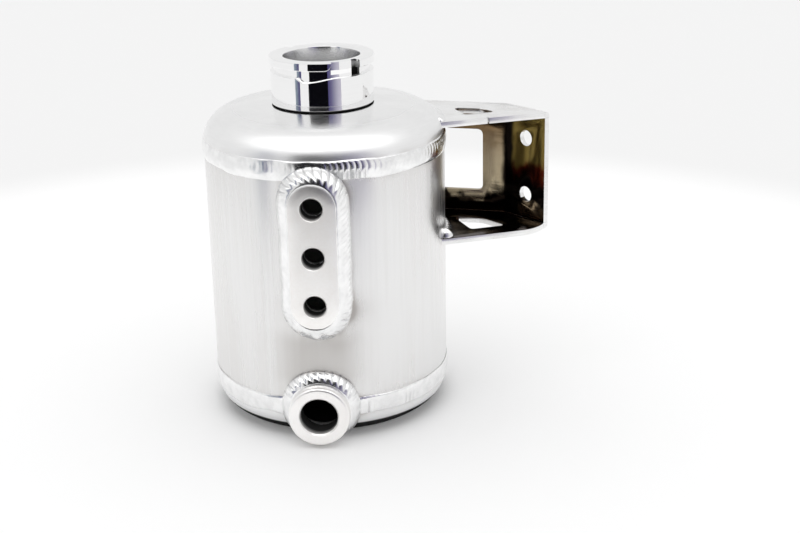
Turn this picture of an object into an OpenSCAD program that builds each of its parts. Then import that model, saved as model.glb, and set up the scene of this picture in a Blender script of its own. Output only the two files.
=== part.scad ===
// Welded aluminium hydraulic reservoir: tube body with two spun end caps, a bayonet
// filler neck, a three-port block, a low outlet bung and a folded side bracket.
// Origin: centre of the flat base. +Z is up, the ports face -Y, the bracket is on +X.
// Millimetres throughout.

/* [Tank body] */
// Outside diameter of the body tube
tube_od = 127; // [90:1:180]
// Length of the body tube between the two end caps
tube_len = 127; // [110:1:220]
// Wall of the body tube
tube_wall = 3.2; // [2:0.1:5]
// Thickness of the spun end caps
cap_wall = 3.2; // [2:0.1:5]
// Outside knuckle radius of the end caps
cap_knuckle_r = 16; // [10:0.5:24]
// Straight flange of an end cap before its knuckle starts
cap_flange = 2.2; // [1:0.1:8]
// Outside radius of the top cap's shallow crown
crown_r = 400; // [250:10:900]

/* [Girth welds] */
// Width of the two girth weld bands
girth_weld_w = 10; // [6:0.5:12]
// Height of the weld crown above the tube
girth_weld_h = 1.3; // [0.5:0.1:2.5]

/* [Filler neck] */
// Outside diameter of the neck's lower barrel
neck_od = 53.8; // [44:0.1:60]
// Outside diameter of the cam flange at the rim
cam_flange_od = 54.8; // [46:0.1:62]
// Rim height above the top cap's crown
neck_h = 24.6; // [20:0.1:40]
// Upper bore of the neck
neck_bore = 40; // [30:0.1:42]
// Bore below the cap's sealing seat
neck_seat_bore = 34; // [24:0.1:36]
// Depth of the sealing seat below the rim
neck_seat_depth = 16; // [12:0.5:18]
// Height of the cam flange at its thinnest
cam_flange_h = 4.1; // [3:0.1:6]
// Depth of the locking groove under the cam flange
cam_groove_depth = 1.9; // [1:0.1:3]
// Height of the locking groove where it is widest
cam_groove_h = 6; // [4:0.1:8]
// Height of the raised lands on the floor of the locking groove
cam_land_h = 2.1; // [0.5:0.1:3]
// Angle that one entry notch in the cam flange takes
cam_notch_deg = 36; // [20:1:60]
// Gap between the neck's lower edge and the crown, filled by its weld further in
neck_gap = 1.3; // [0.8:0.1:3]
// Diameter of the spigot that enters the top cap
neck_spigot_od = 47; // [38:0.1:50]

/* [Port block] */
// Distance from the tank axis to the flat face of the port block
block_face_y = 72; // [66:0.5:110]
// Width of the port block
block_w = 24.2; // [20:0.1:34]
// Height of the middle port above the base
block_mid_z = 102.9; // [85:0.1:130]
// Spacing of the three ports
port_pitch = 25.4; // [18:0.1:30]
// Minor diameter of the three port threads (7/16-20)
port_bore = 9.9; // [6:0.1:14]
// Diameter of the countersink at each port
port_countersink_d = 11.7; // [8:0.1:16]
// Leg of the fillet weld round the port block
block_weld_leg = 6.3; // [3:0.1:8]

/* [Outlet bung] */
// Outside diameter of the outlet bung
bung_od = 31.75; // [24:0.25:34]
// Distance from the tank axis to the bung's front face
bung_face_y = 74.3; // [68:0.1:110]
// Minor diameter of the outlet thread (3/4-16)
bung_bore = 17.4; // [10:0.1:20]
// Diameter of the chamfer at the outlet's mouth
bung_mouth_d = 20; // [12:0.1:23]
// Radial clearance of the hole in the tank behind the bung
bung_hole_gap = 0.6; // [0:0.1:2]
// Depth of the relief in the bung's back, outside the tank wall
bung_relief = 1; // [0.5:0.1:3]
// Chamfer round the bung's front edge
bung_edge_chamfer = 1.4; // [0.3:0.1:2]
// Gap between the bung's underside and the surface the tank stands on
bung_ground_gap = 2.1; // [1:0.1:6]
// Leg of the fillet weld round the bung
bung_weld_leg = 4.4; // [2:0.1:6]

/* [Bracket] */
// Thickness of the bracket's sheet
sheet_t = 3.2; // [2:0.1:5]
// Overall height of the bracket
bracket_h = 65; // [52:0.5:80]
// Distance from the tank wall to the end plate's front edge, along X
bracket_reach = 53.2; // [45:0.5:80]
// Y of the end plate's front edge
bracket_front_y = 14.8; // [8:0.1:20]
// Gap between the top girth weld and the bracket's top plate
bracket_weld_gap = 1.6; // [0.5:0.1:6]
// Angle of the back plate to the X axis
back_plate_angle = -10; // [-20:1:0]
// Angle of the end plate, which the bolts pass through, to the X axis
end_plate_angle = -46; // [-60:1:-35]
// Length of the end plate from the fold to its front edge
end_plate_len = 29.4; // [24:0.1:36]
// Inside radius of the fold
fold_r = 3; // [1:0.5:6]
// Angle of the front edges of the top and bottom plates to the X axis
front_edge_angle = 20; // [10:1:30]
// Distance that the bottom plate's front edge stands forward of the top plate's
bottom_advance = 7.5; // [4:0.5:12]
// Radius of the bottom plate's front corner
bottom_corner_r = 20; // [10:1:30]
// Diameter of the two bolt holes
bolt_hole_d = 8.7; // [5:0.1:11]
// Spacing of the two bolt holes
bolt_pitch = 31.75; // [24:0.25:38]
// Distance from the end plate's front edge to the bolt holes
bolt_edge = 14.1; // [10:0.1:18]
// Height of the back plate's window
window_h = 35; // [20:0.5:44]
// Width of the back plate's window
window_w = 27; // [15:0.5:30]
// Web left between the window and the fold
window_edge = 12.9; // [8:0.1:16]
// Corner radius of the window
window_corner_r = 3.5; // [1:0.5:8]
// Strip left between a plate's cutout and its front edge
cutout_front_strip = 11.6; // [6:0.1:14]
// Strip left between a plate's cutout and the end plate
cutout_end_strip = 17; // [8:0.1:20]
// Strip left between a plate's cutout and the back plate
cutout_back_strip = 13.5; // [6:0.1:16]
// Strip left between a plate's cutout and the tank
cutout_tank_strip = 9; // [5:0.1:12]
// Width of the relief slot in the top plate's front edge
relief_slot_w = 0.8; // [0.4:0.1:2]
// Depth of the relief slot in the top plate's front edge
relief_slot_depth = 2.4; // [1:0.1:4]
// Distance from the end plate's front edge to the relief slot
relief_slot_from_end = 32; // [20:0.5:40]
// Leg of the fillet welds between the bracket and the tank
bracket_weld_leg = 4.2; // [3:0.1:6]

/* [Inside the tank] */
// Height of the perforated baffle above the base
baffle_z = 46; // [38:0.5:56]
// Thickness of the baffle and the deflector
baffle_t = 2; // [1:0.1:3]
// Radial gap between the baffle and the tank wall
baffle_gap = 1; // [0.5:0.1:4]
// Diameter of the holes in the baffle
baffle_hole_d = 9; // [5:0.5:12]
// Width of a baffle tab's shelf
tab_shelf = 8; // [5:0.5:12]
// Height of a baffle tab
tab_h = 10; // [6:0.5:14]
// Angle that a baffle tab takes round the wall
tab_deg = 14; // [8:1:24]
// Gap between the return deflector and the tank wall
deflector_gap = 12; // [8:0.5:18]
// Angle that the return deflector takes round the wall
deflector_deg = 56; // [46:1:70]
// Distance that the deflector reaches past the outer ports' centres
deflector_overlap = 10; // [7:0.5:12]

/* [Hidden] */

$fn = 96;
eps = 0.01;
big = 400;

// Colours
satin_alu = "#c9cacb";
spun_alu = "#d2d3d4";
polished_alu = "#e6e7e8";
weld_alu = "#bfc1c4";
machined_alu = "#dcdddd";
sheet_alu = "#b4b0aa";

// Tank levels and radii
tube_r = tube_od / 2;
tube_in_r = tube_r - tube_wall;
knuckle_in_r = cap_knuckle_r - cap_wall;
knuckle_at_r = tube_r - cap_knuckle_r;
tube_z0 = cap_knuckle_r + cap_flange;
tube_z1 = tube_z0 + tube_len;
top_knuckle_z = tube_z1 + cap_flange;
crown_centre_z = top_knuckle_z
    - sqrt(pow(crown_r - cap_knuckle_r, 2) - pow(knuckle_at_r, 2));
crown_top_z = crown_centre_z + crown_r;

girth_weld_lip = 0.25;

// Filler neck levels and radii
neck_r = neck_od / 2;
rim_z = crown_top_z + neck_h;
neck_foot_z = crown_at(neck_r) + neck_gap;
cam_flange_r = cam_flange_od / 2;
cam_groove_r = neck_r - cam_groove_depth;
cam_flange_z = rim_z - cam_flange_h;
cam_groove_z = cam_flange_z - cam_groove_h;
neck_seat_z = rim_z - neck_seat_depth;
spigot_r = neck_spigot_od / 2;
spigot_drop = 1;
spigot_end_z = crown_at(spigot_r) - cap_wall - spigot_drop;
neck_weld_r = spigot_r + neck_gap + 0.6;
rim_chamfer = 0.8;
foot_chamfer = 0.7;
notch_start_deg = -73;
land_start_deg = -92;
land_deg = 84;
land_inset = 0.1;
cam_root = 1;

// Port block
block_r = block_w / 2;
block_edge_chamfer = 0.5;
block_stand_out = 3.6;
block_weld_top_y = block_face_y - block_stand_out;
block_weld_sink = 3;

// Outlet bung
bung_r = bung_od / 2;
bung_z = bung_r + bung_ground_gap;
bung_weld_ground_gap = 1;

// Bracket levels
bracket_z1 = tube_z1 + girth_weld_w / 2 + bracket_weld_gap + sheet_t;
bracket_z0 = bracket_z1 - bracket_h;
bracket_mid_z = (bracket_z0 + bracket_z1) / 2;
web_h = bracket_h - 2 * sheet_t;

// Bracket plan: the inside faces of its plates as lines through named points
end_edge = [tube_r + bracket_reach, bracket_front_y];
fold_point = end_edge - end_plate_len * dir(end_plate_angle);
bottom_front_point = end_edge - bottom_advance * left_of(front_edge_angle);
fold_turn = back_plate_angle - end_plate_angle;
fold_setback = fold_r * tan(fold_turn / 2);
fold_centre = fold_point - fold_setback * dir(back_plate_angle)
    - fold_r * left_of(back_plate_angle);
back_plate_len = line_to_circle(fold_point, back_plate_angle + 180, tube_r);
fold_steps = 12;
web_overrun = 8;
saddle_sink = 1;
tank_side_angle = -66;
tank_side_point = (tube_r + cutout_tank_strip) * dir(tank_side_angle + 90);

// Inside the tank
baffle_r = tube_in_r - baffle_gap;
baffle_ring_r = [16, 32, 48];
baffle_ring_n = [6, 12, 18];
tab_angles = [30, 150, 210];
deflector_r = tube_in_r - deflector_gap;
deflector_z0 = block_mid_z - port_pitch - deflector_overlap;
deflector_z1 = block_mid_z + port_pitch + deflector_overlap;
deflector_weld_leg = 2.5;

// Height of the top cap's crown at the distance r from the axis
function crown_at(r) = crown_centre_z + sqrt(pow(crown_r, 2) - pow(r, 2));
function dir(a) = [cos(a), sin(a)];
function left_of(a) = [-sin(a), cos(a)];
function cross2(u, v) = u[0] * v[1] - u[1] * v[0];
function line_cross(p, a, q, b) =
    p + dir(a) * cross2(q - p, dir(b)) / cross2(dir(a), dir(b));
// Distance from p along angle a to the nearer crossing with a circle at the origin
function line_to_circle(p, a, r) =
    let (along = p * dir(a)) -along - sqrt(along * along - p * p + r * r);
// Intersection of two pairs of parallel strips, as a four-sided outline
function cutout_points(front_point) = [
    line_cross(tank_side_point, tank_side_angle, cut_back(), back_plate_angle),
    line_cross(cut_back(), back_plate_angle, cut_end(), end_plate_angle),
    line_cross(cut_end(), end_plate_angle, cut_front(front_point), front_edge_angle),
    line_cross(cut_front(front_point), front_edge_angle, tank_side_point, tank_side_angle)
];
// Points round the fold at the radius r, from the back plate to the end plate
function fold_arc(r) = [
    for (i = [0 : fold_steps])
        fold_centre + r * left_of(back_plate_angle - fold_turn * i / fold_steps)
];
function reversed(points) = [for (i = [len(points) - 1 : -1 : 0]) points[i]];
function cut_back() = fold_point - cutout_back_strip * left_of(back_plate_angle);
function cut_end() = end_edge - cutout_end_strip * left_of(end_plate_angle);
function cut_front(front_point) =
    front_point + cutout_front_strip * left_of(front_edge_angle);

// Half section of the tank's outside, on the +X side of the axis
module tank_section(inset = 0) {
    knuckle = cap_knuckle_r - inset;
    difference() {
        union() {
            translate([0, cap_knuckle_r]) square([tube_r - inset, top_knuckle_z - cap_knuckle_r]);
            translate([0, inset]) square([knuckle_at_r, cap_knuckle_r - inset]);
            translate([knuckle_at_r, cap_knuckle_r]) circle(knuckle);
            translate([knuckle_at_r, top_knuckle_z]) circle(knuckle);
            crown_section(inset);
        }
        translate([-big, -eps]) square([big, big]);
    }
}

// Half section under the top cap's crown, down to the start of its knuckle
module crown_section(inset) {
    tangent = atan2(top_knuckle_z - crown_centre_z, knuckle_at_r);
    intersection() {
        translate([0, crown_centre_z]) circle(crown_r - inset, $fn = 720);
        polygon([
            [0, top_knuckle_z], [knuckle_at_r, top_knuckle_z],
            [knuckle_at_r, top_knuckle_z] + cap_knuckle_r * dir(tangent),
            [0, crown_top_z + cap_knuckle_r]
        ]);
    }
}

module tank_solid() {
    rotate_extrude() tank_section();
}

// A cylinder along -Y from the tank axis out to the distance y
module port_drill(r, z, y = big) {
    translate([0, 0, z]) rotate([90, 0, 0]) cylinder(h = y, r = r);
}

module port_levels() {
    for (step = [-1, 0, 1]) translate([0, 0, block_mid_z + step * port_pitch]) children();
}

module shell_tube() {
    color(satin_alu) difference() {
        translate([0, 0, tube_z0]) cylinder(h = tube_len, r = tube_r);
        translate([0, 0, tube_z0 - 1]) cylinder(h = tube_len + 2, r = tube_in_r);
        port_levels() port_drill(port_bore / 2, 0);
        port_drill(bung_bore / 2 + bung_hole_gap, bung_z);
    }
}

// Shell of the tank between two levels
module cap_shell(z0, z1) {
    rotate_extrude() intersection() {
        difference() {
            tank_section();
            tank_section(cap_wall);
        }
        translate([0, z0]) square([big, z1 - z0]);
    }
}

module top_end_cap() {
    color(spun_alu) difference() {
        cap_shell(tube_z1, crown_top_z + 1);
        translate([0, 0, tube_z1]) cylinder(h = big, r = spigot_r);
    }
}

module bottom_end_cap() {
    color(spun_alu) difference() {
        cap_shell(0, tube_z0);
        port_drill(bung_bore / 2 + bung_hole_gap, bung_z);
    }
}

// Low crowned weld band round the tank at the level z
module girth_weld(z) {
    half = girth_weld_w / 2;
    rise = girth_weld_h - girth_weld_lip;
    arc_r = (half * half + rise * rise) / (2 * rise);
    rotate_extrude() difference() {
        intersection() {
            translate([tube_r + girth_weld_h - arc_r, z]) circle(arc_r);
            translate([tube_r - 1, z - half]) square([girth_weld_h + 2, girth_weld_w]);
        }
        tank_section();
    }
}

module top_girth_weld() {
    color(weld_alu) difference() {
        girth_weld(tube_z1);
        port_block_blank(block_weld_leg);
    }
}

module bottom_girth_weld() {
    color(weld_alu) difference() {
        girth_weld(tube_z0);
        port_drill(bung_r + bung_weld_leg, bung_z);
    }
}

// Raised lands on the floor of the locking groove, which tighten the cap
module cam_lands() {
    for (side = [0, 180]) rotate([0, 0, side + land_start_deg])
        rotate_extrude(angle = land_deg)
            translate([cam_groove_r - cam_root, cam_groove_z - cam_root])
                square([cam_groove_depth + cam_root - land_inset, cam_root + cam_land_h]);
}

// The two arcs of the cam flange, with an entry notch between their ends
module cam_flanges() {
    for (side = [0, 180]) rotate([0, 0, side + notch_start_deg + cam_notch_deg])
        rotate_extrude(angle = 180 - cam_notch_deg) polygon([
            [cam_groove_r - cam_root, cam_flange_z], [cam_flange_r, cam_flange_z],
            [cam_flange_r, rim_z - rim_chamfer], [cam_flange_r - rim_chamfer, rim_z],
            [cam_groove_r - cam_root, rim_z]
        ]);
}

module filler_neck() {
    color(polished_alu) difference() {
        union() {
            rotate_extrude() polygon([
                [0, neck_foot_z], [neck_r - foot_chamfer, neck_foot_z],
                [neck_r, neck_foot_z + foot_chamfer], [neck_r, cam_groove_z],
                [cam_groove_r, cam_groove_z], [cam_groove_r, rim_z], [0, rim_z]
            ]);
            translate([0, 0, spigot_end_z])
                cylinder(h = neck_foot_z - spigot_end_z + foot_chamfer, r = spigot_r);
            cam_lands();
            cam_flanges();
        }
        translate([0, 0, neck_seat_z]) cylinder(h = big, r = neck_bore / 2);
        translate([0, 0, spigot_end_z - 1]) cylinder(h = big, r = neck_seat_bore / 2);
        translate([0, 0, rim_z - rim_chamfer])
            cylinder(h = rim_chamfer + eps, r1 = neck_bore / 2, r2 = neck_bore / 2 + rim_chamfer);
    }
}

// Bead hidden in the gap between the neck's foot and the crown
module neck_weld() {
    color(weld_alu) rotate_extrude() polygon([
        [spigot_r, crown_at(spigot_r)], [neck_weld_r, crown_at(neck_weld_r)],
        [neck_weld_r, neck_foot_z], [spigot_r, neck_foot_z]
    ]);
}

// Obround block along -Y, grown by the margin and reaching out to the distance y
module port_block_blank(margin = 0, y = block_face_y) {
    rotate([90, 0, 0]) linear_extrude(height = y) port_block_outline(block_r + margin);
}

module port_block_outline(r) {
    translate([-r, block_mid_z - port_pitch]) square([2 * r, 2 * port_pitch]);
    for (side = [-1, 1]) translate([0, block_mid_z + side * port_pitch]) circle(r);
}

module port_block() {
    color(machined_alu) difference() {
        union() {
            port_block_blank(0, block_face_y - block_edge_chamfer);
            rotate([90, 0, 0]) linear_extrude(height = block_face_y)
                port_block_outline(block_r - block_edge_chamfer);
        }
        tank_solid();
        port_levels() {
            port_drill(port_bore / 2, 0);
            translate([0, eps - block_face_y, 0]) rotate([-90, 0, 0])
                cylinder(h = port_countersink_d / 2, r1 = port_countersink_d / 2, r2 = 0);
        }
    }
}

// Sloping fillet round the port block: a cone at each end and a wedge up each side
module port_block_weld() {
    foot_r = block_r + block_weld_leg;
    depth = block_weld_top_y - tube_r + block_weld_sink;
    color(weld_alu) difference() {
        union() {
            for (side = [-1, 1])
                translate([0, depth - block_weld_top_y, block_mid_z + side * port_pitch])
                    rotate([90, 0, 0]) cylinder(h = depth, r1 = foot_r, r2 = block_r);
            translate([0, 0, block_mid_z - port_pitch]) linear_extrude(height = 2 * port_pitch)
                polygon([
                    [-foot_r, depth - block_weld_top_y], [foot_r, depth - block_weld_top_y],
                    [block_r, -block_weld_top_y], [-block_r, -block_weld_top_y]
                ]);
        }
        tank_solid();
        port_block_blank();
    }
}

module outlet_bung() {
    blank = bung_face_y - bung_edge_chamfer;
    mouth_depth = (bung_mouth_d - bung_bore) / 2;
    color(machined_alu) difference() {
        union() {
            port_drill(bung_r, bung_z, blank);
            translate([0, -blank, bung_z]) rotate([90, 0, 0])
                cylinder(h = bung_edge_chamfer, r1 = bung_r, r2 = bung_r - bung_edge_chamfer);
        }
        tank_solid();
        port_drill(bung_bore / 2, bung_z);
        port_drill(bung_bore / 2 + bung_hole_gap, bung_z, tube_r + bung_relief);
        translate([0, -bung_face_y - eps, bung_z]) rotate([-90, 0, 0])
            cylinder(h = mouth_depth, r1 = bung_mouth_d / 2, r2 = bung_bore / 2);
    }
}

module outlet_bung_weld() {
    foot_r = bung_r + bung_weld_leg;
    color(weld_alu) difference() {
        union() {
            port_drill(foot_r, bung_z, tube_r + eps);
            translate([0, -tube_r, bung_z]) rotate([90, 0, 0])
                cylinder(h = bung_weld_leg, r1 = foot_r, r2 = bung_r);
        }
        tank_solid();
        port_drill(bung_r, bung_z);
        below(bung_weld_ground_gap);
    }
}

// Plan of the folded web as one outline: back plate, fold and end plate
module web_plan() {
    back_end = fold_point - (back_plate_len + web_overrun) * dir(back_plate_angle);
    polygon(concat(
        [back_end], fold_arc(fold_r), [end_edge],
        [end_edge + sheet_t * left_of(end_plate_angle)],
        reversed(fold_arc(fold_r + sheet_t)),
        [back_end + sheet_t * left_of(back_plate_angle)]
    ));
}

module bracket_web() {
    color(sheet_alu) difference() {
        translate([0, 0, bracket_z0 + sheet_t]) linear_extrude(height = web_h) web_plan();
        tank_solid();
        girth_weld(tube_z1);
        bolt_holes();
        back_plate_window();
    }
}

module bolt_holes() {
    for (side = [-1, 1])
        translate(concat(end_edge - bolt_edge * dir(end_plate_angle),
            bracket_mid_z + side * bolt_pitch / 2))
            rotate([0, 0, end_plate_angle]) rotate([90, 0, 0])
                cylinder(h = 4 * sheet_t, r = bolt_hole_d / 2, center = true);
}

module back_plate_window() {
    far_edge = window_edge + window_w;
    corner_x = window_w - 2 * window_corner_r;
    corner_z = window_h - 2 * window_corner_r;
    translate(concat(fold_point - far_edge * dir(back_plate_angle), bracket_mid_z - window_h / 2))
        rotate([0, 0, back_plate_angle]) rotate([90, 0, 0])
            linear_extrude(height = 4 * sheet_t, center = true) {
                translate([window_corner_r, 0]) square([corner_x, window_h]);
                translate([0, window_corner_r]) square([window_w, corner_z]);
                for (x = [0, corner_x], z = [0, corner_z])
                    translate([x + window_corner_r, z + window_corner_r])
                        circle(window_corner_r);
            }
}

// Plan of a bracket plate inside the web, with its front edge through front_point
module plate_plan(front_point) {
    back_end = fold_point - (back_plate_len + web_overrun) * dir(back_plate_angle);
    difference() {
        polygon([
            back_end, each fold_arc(fold_r), end_edge, front_point,
            line_cross(front_point, front_edge_angle, [tube_r / 2, 0], 90)
        ]);
        polygon(cutout_points(front_point));
    }
}

module bracket_top_plate() {
    slot_at = end_edge - relief_slot_from_end * dir(front_edge_angle);
    color(sheet_alu) difference() {
        translate([0, 0, bracket_z1 - sheet_t]) linear_extrude(height = sheet_t) difference() {
            plate_plan(end_edge);
            translate(slot_at) rotate([0, 0, front_edge_angle])
                translate([-relief_slot_w / 2, -eps]) square([relief_slot_w, relief_slot_depth]);
        }
        tank_solid();
    }
}

// Rounds the bottom plate's front corner with an arc that ends on the end plate's edge
module corner_round() {
    run = sqrt(2 * bottom_corner_r * bottom_advance - pow(bottom_advance, 2));
    start = bottom_front_point - run * dir(front_edge_angle);
    difference() {
        translate(start) rotate([0, 0, front_edge_angle]) translate([0, -eps])
            square([run + bottom_corner_r, bottom_advance + eps]);
        translate(start + bottom_corner_r * left_of(front_edge_angle)) circle(bottom_corner_r);
    }
}

module bracket_bottom_plate() {
    color(sheet_alu) difference() {
        translate([0, 0, bracket_z0]) linear_extrude(height = sheet_t) difference() {
            plate_plan(bottom_front_point);
            corner_round();
        }
        tank_solid();
    }
}

// Weld that fills the outside corner between the web and a plate, ground flush
module seam_weld(z) {
    color(weld_alu) difference() {
        translate([0, 0, z]) linear_extrude(height = sheet_t) web_plan();
        tank_solid();
    }
}

module bracket_top_seam_weld() {
    seam_weld(bracket_z1 - sheet_t);
}

module bracket_bottom_seam_weld() {
    seam_weld(bracket_z0);
}

// Angles round the tank axis between which a bracket plate meets the wall
function plate_back_deg() =
    let (p = fold_point - back_plate_len * dir(back_plate_angle)) atan2(p[1], p[0]);
function plate_front_deg(front_point) =
    let (run = line_to_circle(front_point, front_edge_angle + 180, tube_r),
        p = front_point - run * dir(front_edge_angle))
    atan2(p[1], p[0]);

// Everything in front of the back plate's inner face, in plan
module front_of_back_plate() {
    translate(fold_point) rotate([0, 0, back_plate_angle])
        translate([-big, -big]) square([2 * big, big + eps]);
}

// Fillet on top of a bracket plate where it meets the tank, with a rounded front end
module saddle_weld(z, front_point) {
    front = plate_front_deg(front_point);
    bead_r = bracket_weld_leg + saddle_sink;
    difference() {
        rotate([0, 0, front]) translate([tube_r - saddle_sink, 0, z]) sphere(bead_r);
        below(z);
        tank_solid();
    }
    difference() {
        rotate([0, 0, front]) rotate_extrude(angle = plate_back_deg() - front)
            translate([tube_r - saddle_sink, z]) circle(bead_r);
        below(z);
        tank_solid();
        translate([0, 0, z - 1]) linear_extrude(height = big) difference() {
            circle(big);
            front_of_back_plate();
        }
    }
}

module below(z) {
    translate([-big, -big, z - big]) cube([2 * big, 2 * big, big]);
}

module bracket_top_tank_weld() {
    color(weld_alu) saddle_weld(bracket_z1, end_edge);
}

module bracket_bottom_tank_weld() {
    color(weld_alu) saddle_weld(bracket_z0 + sheet_t, bottom_front_point);
}

// Vertical bead where the back plate's outer face meets the tank
module bracket_rear_tank_weld() {
    outer = fold_point + sheet_t * left_of(back_plate_angle);
    run = line_to_circle(outer, back_plate_angle + 180, tube_r);
    foot = outer - run * dir(back_plate_angle);
    color(weld_alu) difference() {
        translate(concat(foot, bracket_z0 + sheet_t)) cylinder(h = web_h, r = bracket_weld_leg);
        tank_solid();
        girth_weld(tube_z1);
        translate([0, 0, bracket_z0]) linear_extrude(height = bracket_h) {
            web_plan();
            front_of_back_plate();
        }
    }
}

module baffle_disc() {
    color(satin_alu) difference() {
        translate([0, 0, baffle_z]) cylinder(h = baffle_t, r = baffle_r);
        for (ring = [0 : len(baffle_ring_r) - 1], i = [0 : baffle_ring_n[ring] - 1])
            rotate([0, 0, i * 360 / baffle_ring_n[ring]])
                translate([baffle_ring_r[ring], 0, baffle_z - 1])
                    cylinder(h = baffle_t + 2, r = baffle_hole_d / 2);
    }
}

// Three angle tabs on the wall that the baffle sits on
module baffle_tabs() {
    color(satin_alu) for (a = tab_angles)
        rotate([0, 0, a - tab_deg / 2]) rotate_extrude(angle = tab_deg) {
            translate([tube_in_r - baffle_t, baffle_z - tab_h]) square([baffle_t, tab_h]);
            translate([tube_in_r - tab_shelf, baffle_z - baffle_t]) square([tab_shelf, baffle_t]);
        }
}

// Curved plate behind the ports, with a side web at each end that reaches the wall
module return_deflector() {
    web_deg = baffle_t / tube_in_r * 180 / PI;
    color(satin_alu) translate([0, 0, deflector_z0])
        linear_extrude(height = deflector_z1 - deflector_z0) difference() {
            sector(tube_in_r, deflector_deg);
            circle(deflector_r - baffle_t);
            difference() {
                sector(tube_od, deflector_deg - 2 * web_deg);
                circle(deflector_r);
            }
        }
}

// Sector of a circle, centred on -Y
module sector(r, sweep) {
    reach = 2 * tube_od;
    intersection() {
        circle(r);
        polygon([
            [0, 0], reach * dir(-90 - sweep / 2), reach * dir(-90), reach * dir(-90 + sweep / 2)
        ]);
    }
}

// Beads outside the deflector's side webs, along the tank wall
module deflector_welds() {
    height = deflector_z1 - deflector_z0;
    bead_deg = deflector_weld_leg / tube_in_r * 180 / PI;
    color(weld_alu) for (start = [-90 - deflector_deg / 2 - bead_deg, -90 + deflector_deg / 2])
        rotate([0, 0, start]) rotate_extrude(angle = bead_deg)
            translate([tube_in_r - deflector_weld_leg, deflector_z0])
                square([deflector_weld_leg, height]);
}

shell_tube();
top_end_cap();
bottom_end_cap();
top_girth_weld();
bottom_girth_weld();
filler_neck();
neck_weld();
port_block();
port_block_weld();
outlet_bung();
outlet_bung_weld();
bracket_web();
bracket_top_plate();
bracket_bottom_plate();
bracket_top_seam_weld();
bracket_bottom_seam_weld();
bracket_top_tank_weld();
bracket_bottom_tank_weld();
bracket_rear_tank_weld();
baffle_disc();
baffle_tabs();
return_deflector();
deflector_welds();
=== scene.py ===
"""Looks of the hydraulic reservoir: a welded aluminium tank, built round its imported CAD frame.

Metres throughout, in the CAD's own frame: +Z is up, the ports face -Y, the bracket is on +X.
Angles called polar are measured round the tank axis from +X.
"""

import math
from collections import namedtuple

import bmesh
import bpy
import numpy as np
from mathutils import Matrix, Vector


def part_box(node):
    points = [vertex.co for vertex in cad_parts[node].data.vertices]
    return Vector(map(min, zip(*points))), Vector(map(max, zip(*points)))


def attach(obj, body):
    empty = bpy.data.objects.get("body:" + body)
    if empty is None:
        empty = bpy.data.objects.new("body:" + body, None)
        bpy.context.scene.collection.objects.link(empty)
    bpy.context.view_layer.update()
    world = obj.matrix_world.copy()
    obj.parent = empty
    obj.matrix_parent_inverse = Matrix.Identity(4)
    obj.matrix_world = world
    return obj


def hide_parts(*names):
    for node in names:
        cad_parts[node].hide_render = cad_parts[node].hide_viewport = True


MM = 0.001
TAU = 2 * math.pi

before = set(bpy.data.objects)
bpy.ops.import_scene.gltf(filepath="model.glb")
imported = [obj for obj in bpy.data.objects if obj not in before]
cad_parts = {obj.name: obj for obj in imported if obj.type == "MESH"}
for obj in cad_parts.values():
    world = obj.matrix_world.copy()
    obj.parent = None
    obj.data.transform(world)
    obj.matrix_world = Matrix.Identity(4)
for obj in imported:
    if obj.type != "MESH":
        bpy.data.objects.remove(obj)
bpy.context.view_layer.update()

# --- Sizes, from the frame where a node gives them ---

TUBE_LO, TUBE_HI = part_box("shell_tube")
TUBE_R = TUBE_HI.x
TUBE_Z0 = TUBE_LO.z
TUBE_Z1 = TUBE_HI.z
WALL = 3.2 * MM

CAP_FLANGE = 2.2 * MM
KNUCKLE_R = TUBE_Z0 - CAP_FLANGE
CROWN_R = 400 * MM
KNUCKLE_AT_R = TUBE_R - KNUCKLE_R
TOP_KNUCKLE_Z = TUBE_Z1 + CAP_FLANGE
CROWN_CENTRE_Z = TOP_KNUCKLE_Z - math.sqrt((CROWN_R - KNUCKLE_R) ** 2 - KNUCKLE_AT_R**2)

NECK_LO, NECK_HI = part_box("filler_neck")
RIM_Z = NECK_HI.z
FLANGE_R = NECK_HI.x
NECK_R = 26.9 * MM
NECK_BORE_R = 20 * MM
NECK_SEAT_R = 17 * MM
NECK_SEAT_Z = RIM_Z - 16 * MM
GROOVE_R = NECK_R - 1.9 * MM
FLANGE_H = 4.1 * MM
GROOVE_H = 6 * MM
RAMP_RISE = 2.1 * MM
SPIGOT_R = 23.5 * MM
NECK_GAP = 0.7 * MM

BLOCK_LO, BLOCK_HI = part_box("port_block")
BLOCK_FACE_Y = BLOCK_LO.y
BLOCK_R = BLOCK_HI.x
BLOCK_Z = (BLOCK_LO.z + BLOCK_HI.z) / 2
PORT_PITCH = 25.4 * MM
PORT_LEVELS = [BLOCK_Z + k * PORT_PITCH for k in (-1, 0, 1)]
Thread = namedtuple("Thread", "mouth_r major_r minor_r lead")
PORT = Thread(6.15 * MM, 6.05 * MM, 5.6 * MM, 1.27 * MM)

BUNG_LO, BUNG_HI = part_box("outlet_bung")
BUNG_R = BUNG_HI.x
BUNG_Z = (BUNG_LO.z + BUNG_HI.z) / 2
BUNG_FACE_Y = BUNG_LO.y
BUNG = Thread(10.45 * MM, 10.25 * MM, 9.7 * MM, 1.5875 * MM)
BUNG_HOLE_R = BUNG.major_r + 0.3 * MM
BUNG_EDGE = 1.4 * MM
FITTING_BACK_Y = -(TUBE_R - 2.2 * MM)
RINGS_PER_LEAD = 14

PLATE_TOP_LO, PLATE_TOP_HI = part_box("bracket_top_plate")
SHEET = PLATE_TOP_HI.z - PLATE_TOP_LO.z
BRACKET_Z0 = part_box("bracket_bottom_plate")[0].z
BRACKET_Z1 = PLATE_TOP_HI.z
BRACKET_MID_Z = (BRACKET_Z0 + BRACKET_Z1) / 2


# --- Small geometry helpers ---


def direction(degrees):
    return np.array([math.cos(math.radians(degrees)), math.sin(math.radians(degrees))])


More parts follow.
